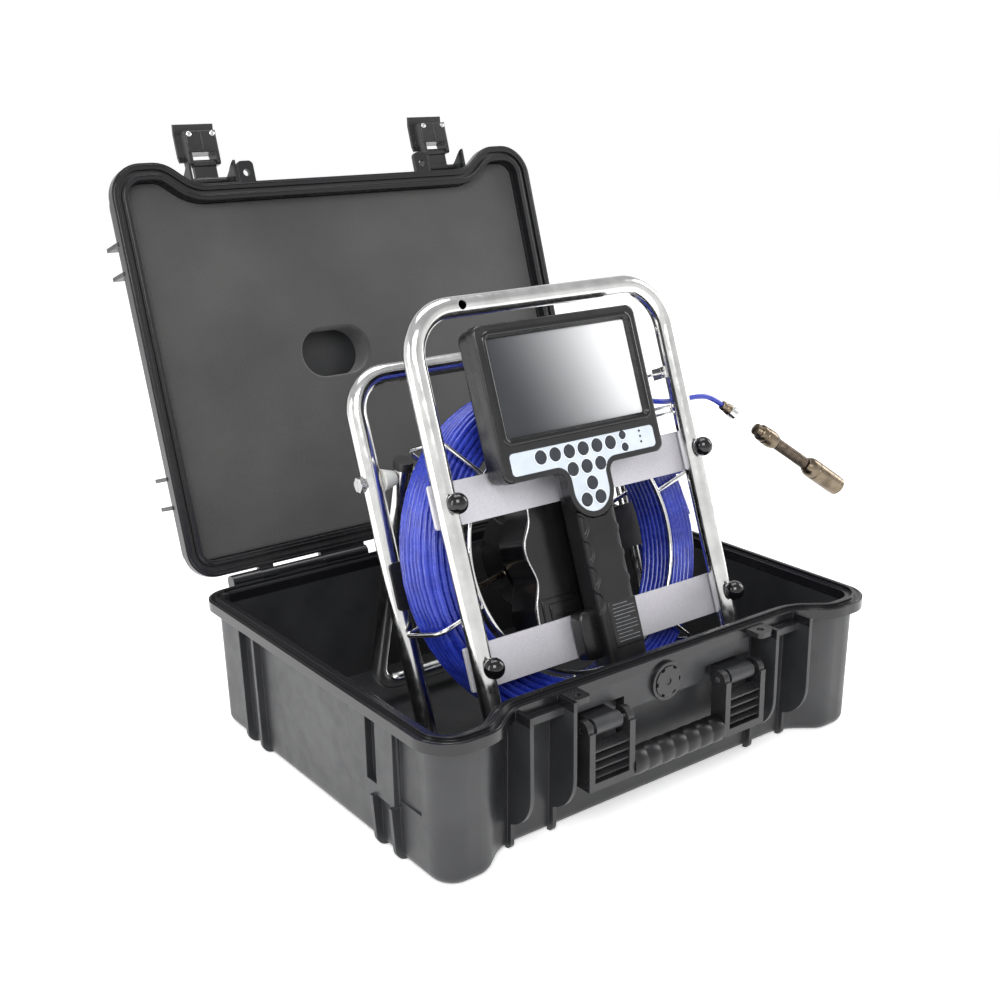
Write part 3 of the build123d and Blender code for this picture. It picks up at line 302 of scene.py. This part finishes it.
def from_bmesh(name, mesh, bevel=0.0, subdivide=0, smooth_angle=35.0):
    """Object from a bmesh, with softened edges."""
    bmesh.ops.recalc_face_normals(mesh, faces=mesh.faces)
    data = bpy.data.meshes.new(name)
    mesh.to_mesh(data)
    mesh.free()
    for polygon in data.polygons:
        polygon.use_smooth = True
    data.set_sharp_from_angle(angle=radians(smooth_angle))
    piece = bpy.data.objects.new(name, data)
    bpy.context.scene.collection.objects.link(piece)
    if bevel:
        soften = piece.modifiers.new("soften", "BEVEL")
        soften.width = bevel
        soften.segments = 2
        soften.limit_method = "ANGLE"
        soften.angle_limit = radians(28)
    if subdivide:
        rounder = piece.modifiers.new("rounder", "SUBSURF")
        rounder.levels = subdivide
        rounder.render_levels = subdivide
    return piece


def turned(name, corners, origin, axis, bevel=0.0004, steps=64):
    """Piece turned about a line; corners are (along, radius) from the origin, closed on the line."""
    side = axis.orthogonal().normalized()
    other = axis.cross(side)
    mesh = bmesh.new()
    rings = []
    for along, radius in corners:
        middle = origin + axis * along
        if radius == 0:
            rings.append([mesh.verts.new(middle)] * steps)
            continue
        angles = [2 * pi * step / steps for step in range(steps)]
        rings.append([mesh.verts.new(middle + (side * cos(a) + other * sin(a)) * radius) for a in angles])
    for first, second in zip(rings, rings[1:]):
        for step in range(steps):
            after = (step + 1) % steps
            corner = []
            for vertex in (first[step], first[after], second[after], second[step]):
                if vertex not in corner:
                    corner.append(vertex)
            if len(corner) > 2:
                mesh.faces.new(corner)
    return from_bmesh(name, mesh, bevel)


def block(name, size, centre, axes, bevel=0.0006):
    """Softened block: size along the three given directions, about its centre."""
    mesh = bmesh.new()
    bmesh.ops.create_cube(mesh, size=1.0)
    for vertex in mesh.verts:
        local = vertex.co.copy()
        vertex.co = centre + sum((axes[i] * (size[i] * local[i]) for i in range(3)), Vector())
    return from_bmesh(name, mesh, bevel)


def wire(name, points, radius, closed=False, order=3, sides=3, resolution=6):
    """Round wire along a smooth NURBS line."""
    curve = bpy.data.curves.new(name, "CURVE")
    curve.dimensions = "3D"
    curve.bevel_depth = radius
    curve.bevel_resolution = sides
    curve.resolution_u = resolution
    curve.use_fill_caps = True
    line = curve.splines.new("NURBS")
    line.points.add(len(points) - 1)
    for control, point in zip(line.points, points):
        control.co = (*point, 1)
    line.order_u = order
    line.use_cyclic_u = closed
    line.use_endpoint_u = not closed
    piece = bpy.data.objects.new(name, curve)
    bpy.context.scene.collection.objects.link(piece)
    return piece


def lofted(name, sections, subdivide=1):
    """Closed skin through rings of points that all have the same count."""
    mesh = bmesh.new()
    rings = [[mesh.verts.new(point) for point in section] for section in sections]
    count = len(rings[0])
    for first, second in zip(rings, rings[1:]):
        for step in range(count):
            after = (step + 1) % count
            mesh.faces.new((first[step], first[after], second[after], second[step]))
    for ring in (rings[0], rings[-1]):
        mesh.faces.new(ring)
    return from_bmesh(name, mesh, subdivide=subdivide, smooth_angle=60)


ARC_STEPS = 8               # segments in a rounded corner


def rounded(corners):
    """Closed outline through (x, y, radius) corners, each rounded by an arc."""
    outline = []
    for before, corner, after in zip(corners[-1:] + corners[:-1], corners, corners[1:] + corners[:1]):
        point = Vector(corner[:2])
        back = (Vector(before[:2]) - point).normalized()
        ahead = (Vector(after[:2]) - point).normalized()
        half = back.angle(ahead) / 2
        centre = point + (back + ahead).normalized() * corner[2] / sin(half)
        reach = corner[2] / tan(half)
        start = point + back * reach - centre
        end = point + ahead * reach - centre
        for step in range(ARC_STEPS + 1):
            outline.append(centre + start.lerp(end, step / ARC_STEPS).normalized() * corner[2])
    return outline


def case_outline(inset, front):
    """Plan of the case, inset from its rim: the front is set back between two corner blocks."""
    corners = [
        (CASE_HALF_W, -CASE_HALF_D, 0.028),
        (CASE_HALF_W, CASE_HALF_D, 0.034),
        (0.196, CASE_HALF_D, 0.036),
        (0.166, FRONT_MID, 0.036),
        (-0.166, FRONT_MID, 0.036),
        (-0.196, CASE_HALF_D, 0.036),
        (-CASE_HALF_W, CASE_HALF_D, 0.034),
        (-CASE_HALF_W, -CASE_HALF_D, 0.028),
    ]
    moved = []
    for before, corner, after in zip(corners[-1:] + corners[:-1], corners, corners[1:] + corners[:1]):
        point = Vector(corner[:2])
        first = (point - Vector(before[:2])).normalized()
        second = (Vector(after[:2]) - point).normalized()
        normals = Vector((-first.y, first.x)) + Vector((-second.y, second.x))
        turn = first.x * second.y - first.y * second.x
        shift = normals * inset / (1 + first.dot(second))
        radius = corner[2] - inset if turn > 0 else corner[2] + inset
        moved.append((point.x + shift.x, point.y + shift.y, radius))
    return [Vector((point.x, point.y * front)) for point in rounded(moved)]


# ================================================================ stage, camera and lights
PHOTO_YAW = radians(36.61)
PHOTO_PITCH = radians(17.34)
PHOTO_ROLL = radians(-0.84)
camera = bpy.data.objects.new("camera", bpy.data.cameras.new("camera"))
camera.data.lens = 47.97
camera.data.sensor_width = 36
camera.data.clip_end = 30
look = Vector((sin(PHOTO_YAW) * cos(PHOTO_PITCH), cos(PHOTO_YAW) * cos(PHOTO_PITCH), -sin(PHOTO_PITCH)))
level = look.cross(Vector((0, 0, 1))).normalized()
upright = level.cross(look)
right = level * cos(PHOTO_ROLL) + upright * sin(PHOTO_ROLL)
top = upright * cos(PHOTO_ROLL) - level * sin(PHOTO_ROLL)
camera.matrix_world = Matrix((right, top, -look)).transposed().to_4x4()
camera.location = (-0.7432, -0.9462, 0.6044)
bpy.context.scene.collection.objects.link(camera)
bpy.context.scene.camera = camera


def studio_light(name, place, aim, size, power):
    """Soft rectangular light that faces a point."""
    lamp = bpy.data.lights.new(name, "AREA")
    lamp.shape = "RECTANGLE"
    lamp.size, lamp.size_y = size
    lamp.energy = power
    made = bpy.data.objects.new(name, lamp)
    made.location = place
    made.rotation_euler = (Vector(aim) - Vector(place)).to_track_quat("-Z", "Y").to_euler()
    bpy.context.scene.collection.objects.link(made)


studio_light("key_light", (-1.3, -1.9, 2.2), (0, 0, 0.2), (1.5, 1.5), 62)
studio_light("right_light", (2.5, -0.5, 1.3), (0, 0, 0.2), (0.9, 1.6), 26)
studio_light("left_strip", (-2.4, 0.3, 0.9), (0, 0, 0.2), (0.6, 1.8), 22)
studio_light("top_light", (0.2, 0.6, 2.8), (0, 0, 0.2), (2.2, 1.2), 40)
bpy.context.scene.view_settings.view_transform = "Standard"

# white round the horizon, greyer overhead
world = bpy.data.worlds.new("studio")
world.use_nodes = True
sky = world.node_tree
height = put(sky, "ShaderNodeSeparateXYZ")
sky.links.new(put(sky, "ShaderNodeTexCoord").outputs["Generated"], height.inputs[0])
overhead = remap(sky, height.outputs["Z"], 0.20, 0.60, 0.0, 1.0)
backdrop = sky.nodes["Background"]
sky.links.new(mixed(sky, overhead, (1.0, 1.0, 1.0), (0.55, 0.55, 0.56)), backdrop.inputs["Color"])
backdrop.inputs["Strength"].default_value = 1.02
bpy.context.scene.world = world

floor_mesh = bmesh.new()
bmesh.ops.create_grid(floor_mesh, x_segments=2, y_segments=2, size=14)
floor = from_bmesh("floor", floor_mesh)
floor.data.materials.append(finish("floor_paper", (0.93, 0.93, 0.93), (0.95, 0.95, 0.95), 0.85, relief=0.0,
                                   sockets={"Emission Color": (1, 1, 1, 1), "Emission Strength": 0.38}))


# ================================================================ lead and connector
lead = wire("push_rod_lead_line", [rack(x, s, LEAD_W) for x, s in LEAD_ROUTE], ROD_R,
            sides=5, resolution=12)
keep(lead, blue_sheath, "rack", ["push_rod_lead"])
lead_end = rack(*LEAD_ROUTE[-1], LEAD_W)
connector = turned(
    "connector_cone",
    [(0, 0), (0, 0.0040), (0.0008, 0.0046), (0.004, 0.0050), (0.0045, 0.0044), (0.006, 0.0044),
     (0.0065, 0.0052), (0.011, 0.0058), (0.011, 0.0047), (0.008, 0.0045), (0.008, 0)],
    lead_end, HEAD_WAY, 0.0003)
keep(connector, bronze, "rack", ["lead_connector"])
PRONGS = 6
head_side = HEAD_WAY.orthogonal().normalized()
for prong in range(PRONGS):
    turn = Matrix.Rotation(2 * pi * prong / PRONGS, 3, HEAD_WAY)
    outward = turn @ head_side
    lean_way = (HEAD_WAY + outward * 0.10).normalized()
    made = block(
        f"connector_prong_{prong + 1}", (0.0085, 0.0038, 0.0011),
        lead_end + HEAD_WAY * 0.0147 + outward * 0.0055,
        (lean_way, HEAD_WAY.cross(outward), lean_way.cross(HEAD_WAY.cross(outward))), 0.0003)
    keep(made, bright_steel, "rack")


# ================================================================ wound push rod
def section_cells(pitch_radial, pitch_axial, depth):
    """Ring of cells in the coil's section, `depth` cells in from its skin: (radius, w) in a loop."""
    inset = TURN_R + depth * pitch_radial
    inner, outer = COIL_IN + inset, COIL_OUT - inset
    back, front = COIL_BACK + inset, COIL_FRONT - inset
    rows = max(1, round((outer - inner) / pitch_radial))
    columns = max(1, round((front - back) / pitch_axial))
    loop = [(outer, front + (back - front) * i / columns) for i in range(columns)]
    loop += [(outer + (inner - outer) * i / rows, back) for i in range(rows)]
    loop += [(inner, back + (front - back) * i / columns) for i in range(columns)]
    loop += [(inner + (outer - inner) * i / rows, front) for i in range(rows)]
    return loop


def inside_corner(radius, w):
    """Keeps a cell inside the coil's rounded outer corners."""
    limit = COIL_CORNER - TURN_R
    knee = Vector((COIL_OUT - COIL_CORNER, min(max(w, COIL_BACK + COIL_CORNER), COIL_FRONT - COIL_CORNER)))
    away = Vector((radius, w)) - knee
    if away.x > 0 and away.length > limit:
        knee += away.normalized() * limit
        return knee.x, knee.y
    return radius, w


POINTS_PER_TURN = 24
SLACK = 0.009               # how much further out the inside turns lie on the right than on the left
cells = section_cells(TURN_PITCH, TURN_PITCH, 0) + section_cells(TURN_PITCH, TURN_PITCH, 1)
coil_points = []
for point in range((len(cells) - 1) * POINTS_PER_TURN + 1):
    turns = point / POINTS_PER_TURN
    cell = min(int(turns), len(cells) - 2)
    step = min(1.0, max(0.0, (turns - cell - 0.35) / 0.3))
    step = step * step * (3 - 2 * step)
    radius = cells[cell][0] + (cells[cell + 1][0] - cells[cell][0]) * step
    w = cells[cell][1] + (cells[cell + 1][1] - cells[cell][1]) * step
    angle = 2 * pi * turns
    seed = Vector((cos(angle) * 1.1, sin(angle) * 1.1, cell * 0.61))
    radius += 0.0009 * noise.noise(seed)
    w += 0.0015 * noise.noise(seed + Vector((7.3, 0, 0)))
    inside = COIL_IN + TURN_R + SLACK * (0.5 + 0.5 * cos(angle))
    depth = (COIL_OUT - TURN_R - radius) / (COIL_OUT - COIL_IN - 2 * TURN_R)
    radius = COIL_OUT - TURN_R - depth * (COIL_OUT - TURN_R - inside)
    radius = min(max(radius, COIL_IN + TURN_R), COIL_OUT - TURN_R)
    w = min(max(w, COIL_BACK + TURN_R), COIL_FRONT - TURN_R)
    radius, w = inside_corner(radius, w)
    coil_points.append(rack(radius * cos(angle), REEL_S + radius * sin(angle), w))
coil = wire("push_rod_turns", coil_points, TURN_R, sides=2, resolution=2)
keep(coil, blue_sheath, "reel", ["push_rod_coil"])


# ================================================================ camera head
head_origin = lead_end + HEAD_WAY * HEAD_START
head_collar = turned(
    "head_collar_turned",
    [(0, 0), (0, 0.0050), (0.0006, 0.0062)]
    + [(0.0010 + 0.0009 * i, 0.0063 if i % 2 else 0.0056) for i in range(6)]
    + [(0.0064, 0.0063), (HEAD_COLLAR, 0.0075), (0.0078, 0.0084), (0.012, 0.0087), (0.0128, 0.0081),
       (0.0142, 0.0081), (0.015, 0.0089), (0.021, 0.0092), (0.0225, 0.0092), (0.0285, 0.0082),
       (0.030, 0.0070), (0.030, 0)],
    head_origin, HEAD_WAY, 0.0002)
keep(head_collar, bronze, "camera_head", ["head_collar"])
COILS = 19
SPRING_WIRE = 0.00115
COIL_POINTS = 12            # a turn of the spring
helix = []
for point in range(COILS * COIL_POINTS + 1):
    angle = 2 * pi * point / COIL_POINTS
    share = point / (COILS * COIL_POINTS)
    along = HEAD_SPRING + SPRING_WIRE + (HEAD_BODY - HEAD_SPRING - 2 * SPRING_WIRE) * share
    outward = Matrix.Rotation(angle, 3, HEAD_WAY) @ head_side
    helix.append(head_origin + HEAD_WAY * along + outward * (0.0063 - SPRING_WIRE) * 1.02)
head_spring = wire("head_spring_coil", helix, SPRING_WIRE, sides=3, resolution=3)
keep(head_spring, dark_bronze, "camera_head", ["head_spring"])
head_core = turned("head_spring_core", [(HEAD_SPRING - 0.001, 0), (HEAD_SPRING - 0.001, 0.0042),
                                        (HEAD_BODY + 0.001, 0.0042), (HEAD_BODY + 0.001, 0)],
                   head_origin, HEAD_WAY)
keep(head_core, seal_rubber, "camera_head")
head_body = turned(
    "head_body_turned",
    [(HEAD_BODY, 0), (HEAD_BODY, 0.0068), (HEAD_BODY + 0.0012, 0.0074), (HEAD_BODY + 0.003, 0.0088),
     (HEAD_BODY + 0.0055, 0.0099), (HEAD_BODY + 0.0085, 0.0104), (HEAD_BODY + 0.013, 0.0105),
     (HEAD_BODY + 0.0134, 0.0101), (HEAD_BODY + 0.0142, 0.0101), (HEAD_BODY + 0.0146, 0.0105),
     (HEAD_END - 0.006, 0.0105), (HEAD_END - 0.0055, 0.0102), (HEAD_END - 0.001, 0.0102),
     (HEAD_END, 0.0096), (HEAD_END, 0.0084), (HEAD_END - 0.0022, 0.0080), (HEAD_END - 0.0022, 0)],
    head_origin, HEAD_WAY, 0.0002)
keep(head_body, bronze, "camera_head", ["head_body"])
lens_ring = turned("lens_ring", [(HEAD_END - 0.0024, 0.0034), (HEAD_END - 0.0008, 0.0034),
                                 (HEAD_END - 0.0008, 0.0046), (HEAD_END - 0.0024, 0.0046)],
                   head_origin, HEAD_WAY, 0.0002)
keep(lens_ring, gloss_black, "camera_head")
lens = turned("lens_dome", [(HEAD_END - 0.0024, 0.0034), (HEAD_END - 0.0015, 0.0034),
                            (HEAD_END - 0.0009, 0.0025), (HEAD_END - 0.0007, 0)],
              head_origin, HEAD_WAY, 0.0)
keep(lens, lens_glass, "camera_head")
LAMPS = 8
for lamp in range(LAMPS):
    outward = Matrix.Rotation(2 * pi * lamp / LAMPS, 3, HEAD_WAY) @ head_side
    made = turned(f"head_lamp_{lamp + 1}",
                  [(0, 0), (0, 0.0011), (0.0006, 0.0011), (0.0010, 0.0006), (0.0011, 0)],
                  head_origin + HEAD_WAY * (HEAD_END - 0.0024) + outward * 0.0063, HEAD_WAY, 0.0, 16)
    keep(made, ring_print, "camera_head")


# ================================================================ lid foam and rim beads
FOAM_FACE = -0.013
FOAM_BACK = -0.0458
FOAM_EDGE = 0.0020
foam_curve = bpy.data.curves.new("foam_outline", "CURVE")
foam_curve.dimensions = "2D"
foam_curve.fill_mode = "BOTH"
foam_curve.extrude = (FOAM_FACE - FOAM_BACK) / 2 - FOAM_EDGE
foam_curve.bevel_depth = FOAM_EDGE
foam_curve.bevel_resolution = 2
hole_corners = [(-0.0812, -0.0281, 0.0273), (0.0038, -0.0281, 0.0273), (0.0038, 0.0269, 0.0273),
                (-0.0812, 0.0269, 0.0273)]
for outline in (case_outline(0.0172 + FOAM_EDGE, 1), rounded(hole_corners)):
    edge = foam_curve.splines.new("POLY")
    edge.points.add(len(outline) - 1)
    for control, point in zip(edge.points, outline):
        control.co = (point.x, point.y, 0, 1)
    edge.use_cyclic_u = True
outline_object = bpy.data.objects.new("foam_outline", foam_curve)
foam_mesh = bpy.data.meshes.new_from_object(outline_object)
bpy.data.objects.remove(outline_object)
lid_matrix = Matrix((ACROSS, LID_UP, LID_IN)).transposed().to_4x4()
lid_matrix.translation = lid(0, 0, (FOAM_FACE + FOAM_BACK) / 2)
foam_mesh.transform(lid_matrix)
foam = bpy.data.objects.new("lid_foam_pad", foam_mesh)
bpy.context.scene.collection.objects.link(foam)
keep(foam, foam_finish, "lid", ["lid_foam"])

for inset in (0.0022, 0.0125):
    bead = wire(f"base_bead_{round(inset * 1e4)}",
                [Vector((p.x, p.y, RIM_TOP)) for p in case_outline(inset, -1)], 0.0006,
                closed=True, order=2)
    keep(bead, gloss_black, "case")
    bead = wire(f"lid_bead_{round(inset * 1e4)}", [lid(p.x, p.y) for p in case_outline(inset, 1)], 0.0006,
                closed=True, order=2)
    keep(bead, gloss_black, "lid")


# ================================================================ handle grip
HANDLE = Vector((0, -0.195, 0.052))
GRIP_HALF = 0.0538
SEGMENTS = 7
grip_profile = [(-GRIP_HALF, 0.0072), (-GRIP_HALF, 0.0108)]
for segment in range(SEGMENTS):
    start = -GRIP_HALF + 2 * GRIP_HALF * segment / SEGMENTS
    length = 2 * GRIP_HALF / SEGMENTS
    grip_profile += [(start + length * part, radius) for part, radius in
                     ((0.05, 0.0110), (0.16, 0.0118), (0.5, 0.0120), (0.84, 0.0118), (0.95, 0.0110))]
grip_profile += [(GRIP_HALF, 0.0108), (GRIP_HALF, 0.0072)]
grip = turned("handle_grip_sleeve", grip_profile, HANDLE, ACROSS, 0.0)
keep(grip, grip_rubber, "carry_handle", ["handle_grip"])


# ================================================================ monitor details
def superellipse(middle, across, forward, half_x, half_y, power=4.0, count=40):
    """Ring of points, between an ellipse and a rectangle as the power grows."""
    ring = []
    for step in range(count):
        angle = 2 * pi * (step + 0.5) / count
        x = abs(cos(angle)) ** (2 / power) * half_x * (1 if cos(angle) > 0 else -1)
        y = abs(sin(angle)) ** (2 / power) * half_y * (1 if sin(angle) > 0 else -1)
        ring.append(middle + across * x + forward * y)
    return ring


GRIP_X = 0.0005
GRIP_W = 0.0055
GRIP_LOW, GRIP_HIGH, GRIP_STEPS = -0.0475, 0.1075, 200
FINGER = 0.0232             # one finger
FINGER_LOW = -0.0020
FINGERS = 4
DISH_X = 0.0262             # from the grip's middle to the middle of a dish
DISH_STAGGER = 0.004        # how much higher the dishes on the right are
DISH_R = 0.0115
DISH_DEPTH = 0.0018
DISH_EDGE = 0.0009
GRIP_HALF_X = 0.0214
GRIP_HALF_W = 0.0138
GRIP_SQUARE = 7.0
GRIP_COUNT = 160
LOBE_AT = Vector((-0.002, 0.110))
LOBE_R = 0.0253
LOBE_BACK = 0.0078          # just behind the keypad's lobe
LABEL_W = 0.0194
LABEL_LINES = 11
LINE_PITCH = 0.0033


def dished(point, x, s):
    """Sinks a point of the grip's front into the finger dish that it lies in."""
    for finger in range(FINGERS):
        for edge in (-1, 1):
            middle = FINGER_LOW + FINGER * (finger + 0.5) + (DISH_STAGGER if edge > 0 else 0.0)
            reach = DISH_R - hypot((x - GRIP_X) - edge * DISH_X, s - middle)
            if reach > 0:
                point = point - RACK_OUT * DISH_DEPTH * min(1.0, reach / DISH_EDGE)
    return point


grip_sections = []
for station in range(GRIP_STEPS + 1):
    s = GRIP_LOW + (GRIP_HIGH - GRIP_LOW) * station / GRIP_STEPS
    end = min(1.0, (s - GRIP_LOW) / 0.003 + 0.80)
    ring = superellipse(rack(GRIP_X, s, GRIP_W), ACROSS, RACK_OUT, GRIP_HALF_X * end, GRIP_HALF_W * end,
                        GRIP_SQUARE, GRIP_COUNT)
    section = []
    for point in ring:
        across = (point - RACK_ORIGIN).x
        out = (point - RACK_ORIGIN).dot(RACK_OUT)
        if out > 0.008 and (Vector((across, s)) - LOBE_AT).length < LOBE_R + 0.0002:
            point = point - RACK_OUT * (out - LOBE_BACK)
        elif out > GRIP_W + 0.010:
            point = dished(point, across, s)
        section.append(point)
    grip_sections.append(section)
grip_piece = lofted("grip_shell", grip_sections, subdivide=0)
keep(grip_piece, grip_rubber, "monitor", ["grip_body"])
label = block("grip_plate", (0.032, 0.041, 0.0008), rack(GRIP_X + 0.003, -0.0125, LABEL_W),
              (ACROSS, RACK_UP, RACK_OUT), 0.0004)
keep(label, satin_black, "monitor")
for row in range(LABEL_LINES):
    bar = block(f"grip_plate_line_{row + 1}", (0.025 if row % 4 else 0.017, 0.0006, 0.0003),
                rack(GRIP_X + (0.003 if row % 4 else 0.0), 0.0048 - LINE_PITCH * row, LABEL_W + 0.0005),
                (ACROSS, RACK_UP, RACK_OUT), 0.0001)
    keep(bar, dim_print, "monitor")
FOOT_STATIONS = ((-0.0395, 0.0290), (-0.037, 0.0308), (0.0035, 0.0308), (0.0058, 0.0285))
foot = lofted("grip_foot", [superellipse(rack(-0.0065, s, -0.0010), ACROSS, RACK_OUT, half, 0.0084, 9)
                            for s, half in FOOT_STATIONS])
keep(foot, monitor_plastic, "monitor")

# ================================================================ electronics box
BOX_RIBS = (                # across, up the rack, width, height
    (-0.0400, 0.0228, 0.0400, 0.0012),
    (-0.0360, 0.0175, 0.0310, 0.0012),
    (-0.0595, 0.0060, 0.0012, 0.0340),
    (-0.0515, 0.0030, 0.0012, 0.0290),
)
BOX_EDGE_HIGHLIGHT = (                 # down the waved left edge: a bright steel wire that paints the highlight of the box's glossy edge
    (-0.0525, 0.120), (-0.0525, 0.098), (-0.0562, 0.088), (-0.0645, 0.076), (-0.0652, 0.062),
    (-0.0580, 0.042), (-0.0600, 0.032), (-0.0672, 0.016), (-0.0672, -0.018),
)
for rib, (x, s, wide, tall) in enumerate(BOX_RIBS):
    bead = block(f"box_rib_{rib + 1}", (wide, tall, 0.0016), rack(x, s, -0.0124),
                 (ACROSS, RACK_UP, RACK_OUT), 0.0005)
    keep(bead, gloss_black, "rack")
# painted highlight: bright steel wire along the box's waved edge, in place of the light its glossy edge
# reflects
painted_edge_highlight = wire("box_edge_highlight_wire", [rack(x, s, -0.0126) for x, s in BOX_EDGE_HIGHLIGHT], 0.0008)
keep(painted_edge_highlight, bright_steel, "rack")


# ================================================================ display bead, rod fitting and keypad
BEAD_X = 0.0832             # half width of the bead round the display
BEAD_LOW, BEAD_HIGH = 0.1633, 0.2597
BEAD_ROUND = 0.006
screen_edge = rounded([(-BEAD_X, BEAD_LOW, BEAD_ROUND), (BEAD_X, BEAD_LOW, BEAD_ROUND),
                       (BEAD_X, BEAD_HIGH, BEAD_ROUND), (-BEAD_X, BEAD_HIGH, BEAD_ROUND)])
screen_bead = wire("screen_bead", [rack(point.x, point.y, 0.0188) for point in screen_edge], 0.0027,
                   closed=True)
keep(screen_bead, gloss_black, "monitor")
FITTING_START = rack(-0.054, 0.0515, -0.0625)
FITTING_WAY = (rack(-0.100, 0.0438, -0.0560) - FITTING_START).normalized()
fitting = turned(
    "rod_fitting",
    [(0, 0), (0, 0.0030), (0.001, 0.0036), (0.006, 0.0036), (0.0068, 0.0030), (0.036, 0.0030),
     (0.037, 0.0036), (0.043, 0.0036), (0.044, 0.0028), (0.044, 0)],
    FITTING_START, FITTING_WAY, 0.0003, 32)
keep(fitting, bronze, "reel")
tail = wire("rod_tail", [FITTING_START + FITTING_WAY * 0.0435, FITTING_START + FITTING_WAY * 0.056,
                         FITTING_START + FITTING_WAY * 0.070], ROD_R)
keep(tail, blue_sheath, "reel")

for node in sorted(frame["nodes"]):
    if not node.startswith("key_"):
        continue
    low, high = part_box(node)
    middle = (low + high) / 2 - RACK_ORIGIN
    key_r = (high.x - low.x) / 2
    key_at = rack(middle.x, middle.dot(RACK_UP), 0.0198)
    ring = turned(f"{node}_ring",
                  [(0, key_r + 0.0005), (0.00018, key_r + 0.0006), (0.00018, key_r + 0.0012),
                   (0, key_r + 0.0013)], key_at, RACK_OUT, 0.0, 40)
    keep(ring, ring_print, "monitor")
for lamp, s in enumerate((0.1515, 0.1465, 0.1415)):
    dot = turned(f"keypad_lamp_{lamp + 1}", [(0, 0), (0, 0.0011), (0.0004, 0.0010), (0.0005, 0)],
                 rack(0.066, s, 0.0198), RACK_OUT, 0.0, 16)
    keep(dot, gloss_black, "monitor")

# ================================================================ latch plates
LATCH_X = 0.143
PLATE_Y = 0.2298
PLATE_FACE = -0.0160        # face of the latch's inner block
SCREW_X = 0.0128
for side, tag in ((-1, "left"), (1, "right")):
    x = side * LATCH_X
    body = f"latch_lever_{tag}_body"
    plate_axes = (ACROSS, LID_UP, LID_IN)
    cover = block(f"latch_plate_{tag}", (0.0325, 0.0215, 0.0014), lid(x, PLATE_Y, PLATE_FACE), plate_axes)
    keep(cover, trim_plastic, body)
    for place, x_off in enumerate((-SCREW_X, SCREW_X)):
        head = turned(f"latch_screw_{tag}_{place + 1}",
                      [(0, 0), (0, 0.0030), (0.0010, 0.0028), (0.0015, 0.0016), (0.0008, 0.0012),
                       (0.0008, 0)],
                      lid(x + x_off, 0.2375, PLATE_FACE + 0.0003), LID_IN, 0.0, 24)
        keep(head, bright_steel, body)
    rib = block(f"latch_rib_{tag}", (0.0012, 0.019, 0.0010), lid(x, PLATE_Y, PLATE_FACE + 0.0008),
                plate_axes, 0.0003)
    keep(rib, trim_plastic, body)
